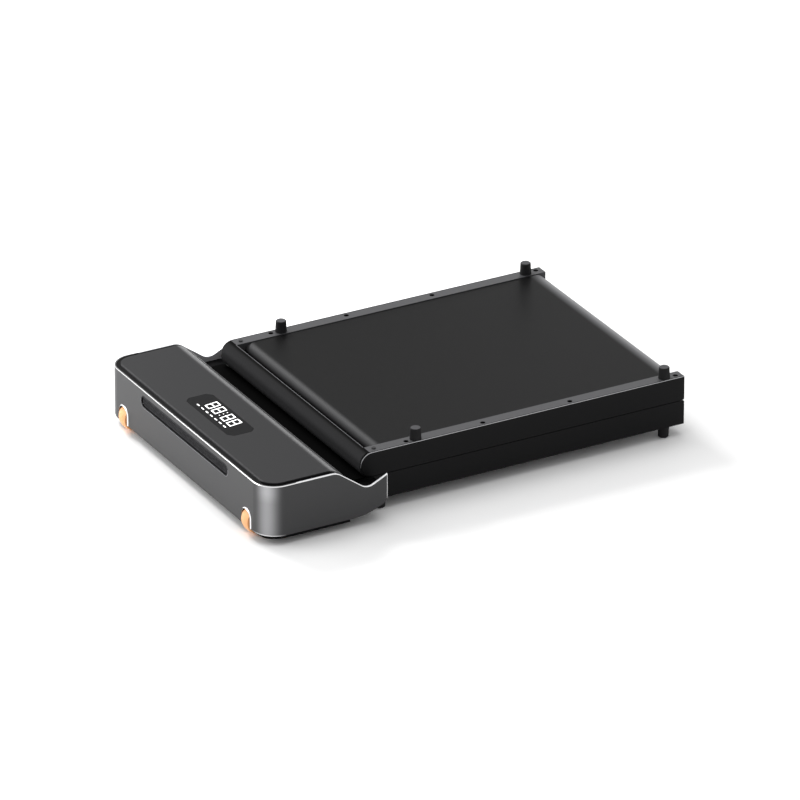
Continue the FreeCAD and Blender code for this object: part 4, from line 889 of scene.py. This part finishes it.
class PAD_OT_belt(bpy.types.Operator):
    """Finish the walking belt and make the two halves of its fold."""
    bl_idname = "pad.belt"
    bl_label = "Walking belt"

    def execute(self, context):
        colours = context.scene.pad_colours
        fabric = belt_fabric(colours.belt, colours.belt_pale, colours.belt_bend_sheen)
        paint(fabric, "belt_front", "belt_rear")
        low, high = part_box("belt_fold")
        radius = high.x - low.x
        inside = radius - BELT_THICK
        middle = (low.z + high.z) / 2

        def half_profile(sign):
            """Outline of one half of the fold, from its run on the rail side up to the middle."""
            outer, inner = [], []
            for k in range(ARC_STEPS + 1):
                turn = k * math.pi / (2 * ARC_STEPS)
                along, up = math.sin(turn), 1 - math.cos(turn)
                outer.append((low.x + radius * along, radius * up))
                inner.append((low.x + inside * along, BELT_THICK + inside * up))
            for k in range(1, RUN_STEPS + 1):
                z = radius + (middle - low.z - radius) * k / RUN_STEPS
                outer.append((high.x, z))
                inner.append((high.x - BELT_THICK, z))
            start = low.z if sign > 0 else high.z
            loop = [(x, start + sign * z) for x, z in outer + inner[::-1]]
            return loop if sign > 0 else loop[::-1]

        for name, sign, bodies in (("belt_fold_lower", 1, ("front_half", "hinge_links")),
                                   ("belt_fold_upper", -1, ("rear_half", "hinge_links"))):
            verts, faces = sweep(half_profile(sign), high.y)
            obj = piece(name, verts, faces, fabric, True)
            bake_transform(obj)
            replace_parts(obj, "belt_fold")
        return {"FINISHED"}


class PAD_OT_mechanism(bpy.types.Operator):
    """Finish the hinge, rollers, motor, drive, inlet pins and fasteners."""
    bl_idname = "pad.mechanism"
    bl_label = "Mechanism"

    def execute(self, context):
        colours = context.scene.pad_colours
        paint(turned_steel("zinc-plated steel", colours.steel, 0.34), "wheel_forks",
              "wheel_axles", "motor_shaft", "drive_axle", "drive_bearings", "rear_bearings",
              "rear_axle", "front_hinge_pins", "rear_hinge_pins", "hinge_links", "drive_roller",
              "rear_roller")
        paint(turned_steel("blackened steel", colours.screw, 0.5), "tension_bolts", "rail_screws",
              "front_hinge_blocks", "rear_hinge_blocks", "front_fold_roller", "rear_fold_roller")
        paint(powder_coat(colours.dark_steel), "front_cross_members", "rear_cross_members",
              "motor_bracket", "motor_can")
        paint(machined_aluminium(colours.alloy), "motor_pulley", "drive_pulley", "heat_sink")
        paint(plain_brass(colours.brass), "inlet_pins")
        return {"FINISHED"}


class PAD_OT_stage(bpy.types.Operator):
    """Set the pale floor, the soft lamps and the camera."""
    bl_idname = "pad.stage"
    bl_label = "Stage"

    def execute(self, context):
        scene = context.scene
        scene.view_settings.view_transform = "Standard"
        world = scene.world or bpy.data.worlds.new("soft white surround")
        scene.world = world
        world.use_nodes = True
        tree = world.node_tree
        tree.nodes.clear()
        # The surround is plain white to the eye and in reflections, and lights more softly.
        path = add(tree, "ShaderNodeLightPath").outputs
        seen = add(tree, MATH, {0: path["Is Camera Ray"], 1: path["Is Glossy Ray"]},
                   operation="MAXIMUM")
        seen = add(tree, MATH, {0: seen, 1: path["Is Transmission Ray"]}, operation="MAXIMUM")
        level = add(tree, RAMP, {"Value": seen, "To Min": 0.6, "To Max": 1.0})
        glow = add(tree, "ShaderNodeBackground", {"Color": rgb("#ffffff"), "Strength": level})
        add(tree, "ShaderNodeOutputWorld", {"Surface": glow})

        pale = shader("pale floor", scene.pad_colours.floor, 0.9)[0]
        corners = [(x * FLOOR_REACH, y * FLOOR_REACH, FLOOR_LEVEL)
                   for x, y in ((-1, -1), (1, -1), (1, 1), (-1, 1))]
        floor = piece("floor", corners, [[0, 1, 2, 3]], pale)

        for name, place, aim, wide, tall, power in (
                ("top lamp", (0.2, 0.3, 3.2), (0, 0, 0), 2.6, 2.6, 45.0),
                ("front lamp", (-2.3, 1.25, 1.2), (-0.4, 0.05, 0.06), 2.0, 2.0, 37.0),
                ("back lamp", (-0.48, 2.4, 1.85), (-0.2, 0, 0.1), 1.4, 1.0, 80.0),
                ("ridge lamp", (2.25, 2.4, 0.45), (0.38, 0, 0.1), 1.4, 0.5, 8.0)):
            data = bpy.data.lights.new(name, "AREA")
            data.shape = "RECTANGLE"
            data.size = wide
            data.size_y = tall
            data.energy = power
            lamp = shown(name, data)
            lamp.location = place
            towards = Vector(aim) - Vector(place)
            lamp.rotation_euler = towards.to_track_quat("-Z", "Y").to_euler()

        view = bpy.data.cameras.new("camera")
        view.lens = 409.6
        view.sensor_width = 36.0
        view.clip_start = 0.1
        view.clip_end = 60.0
        camera = shown("camera", view)
        camera.location = (-6.6345, -12.0194, 6.7457)
        camera.rotation_euler = (math.radians(64.022), 0.0, math.radians(-28.91))
        scene.camera = camera
        return {"FINISHED"}


class PAD_PT_sidebar(bpy.types.Panel):
    """Lists the pad's pieces, sizes and colours."""
    bl_idname = "PAD_PT_sidebar"
    bl_label = "Walking pad"
    bl_space_type = "VIEW_3D"
    bl_region_type = "UI"
    bl_category = "Walking pad"

    def draw(self, context):
        for step in STEPS:
            self.layout.operator(step.bl_idname)
        for group in (context.scene.pad_sizes, context.scene.pad_colours):
            column = self.layout.column()
            for key in group.__annotations__:
                column.prop(group, key)


STEPS = (PAD_OT_cowl, PAD_OT_slot, PAD_OT_display, PAD_OT_wheels, PAD_OT_deck, PAD_OT_belt,
         PAD_OT_mechanism, PAD_OT_stage)
CLASSES = (PadSizes, PadColours) + STEPS + (PAD_PT_sidebar,)


def register():
    for cls in CLASSES:
        bpy.utils.register_class(cls)
    bpy.types.Scene.pad_sizes = bpy.props.PointerProperty(type=PadSizes)
    bpy.types.Scene.pad_colours = bpy.props.PointerProperty(type=PadColours)


def unregister():
    del bpy.types.Scene.pad_colours
    del bpy.types.Scene.pad_sizes
    for cls in reversed(CLASSES):
        bpy.utils.unregister_class(cls)


def main():
    register()
    bpy.ops.pad.cowl()
    bpy.ops.pad.slot()
    bpy.ops.pad.display()
    bpy.ops.pad.wheels()
    bpy.ops.pad.deck()
    bpy.ops.pad.belt()
    bpy.ops.pad.mechanism()
    bpy.ops.pad.stage()


if __name__ == "__main__":
    main()
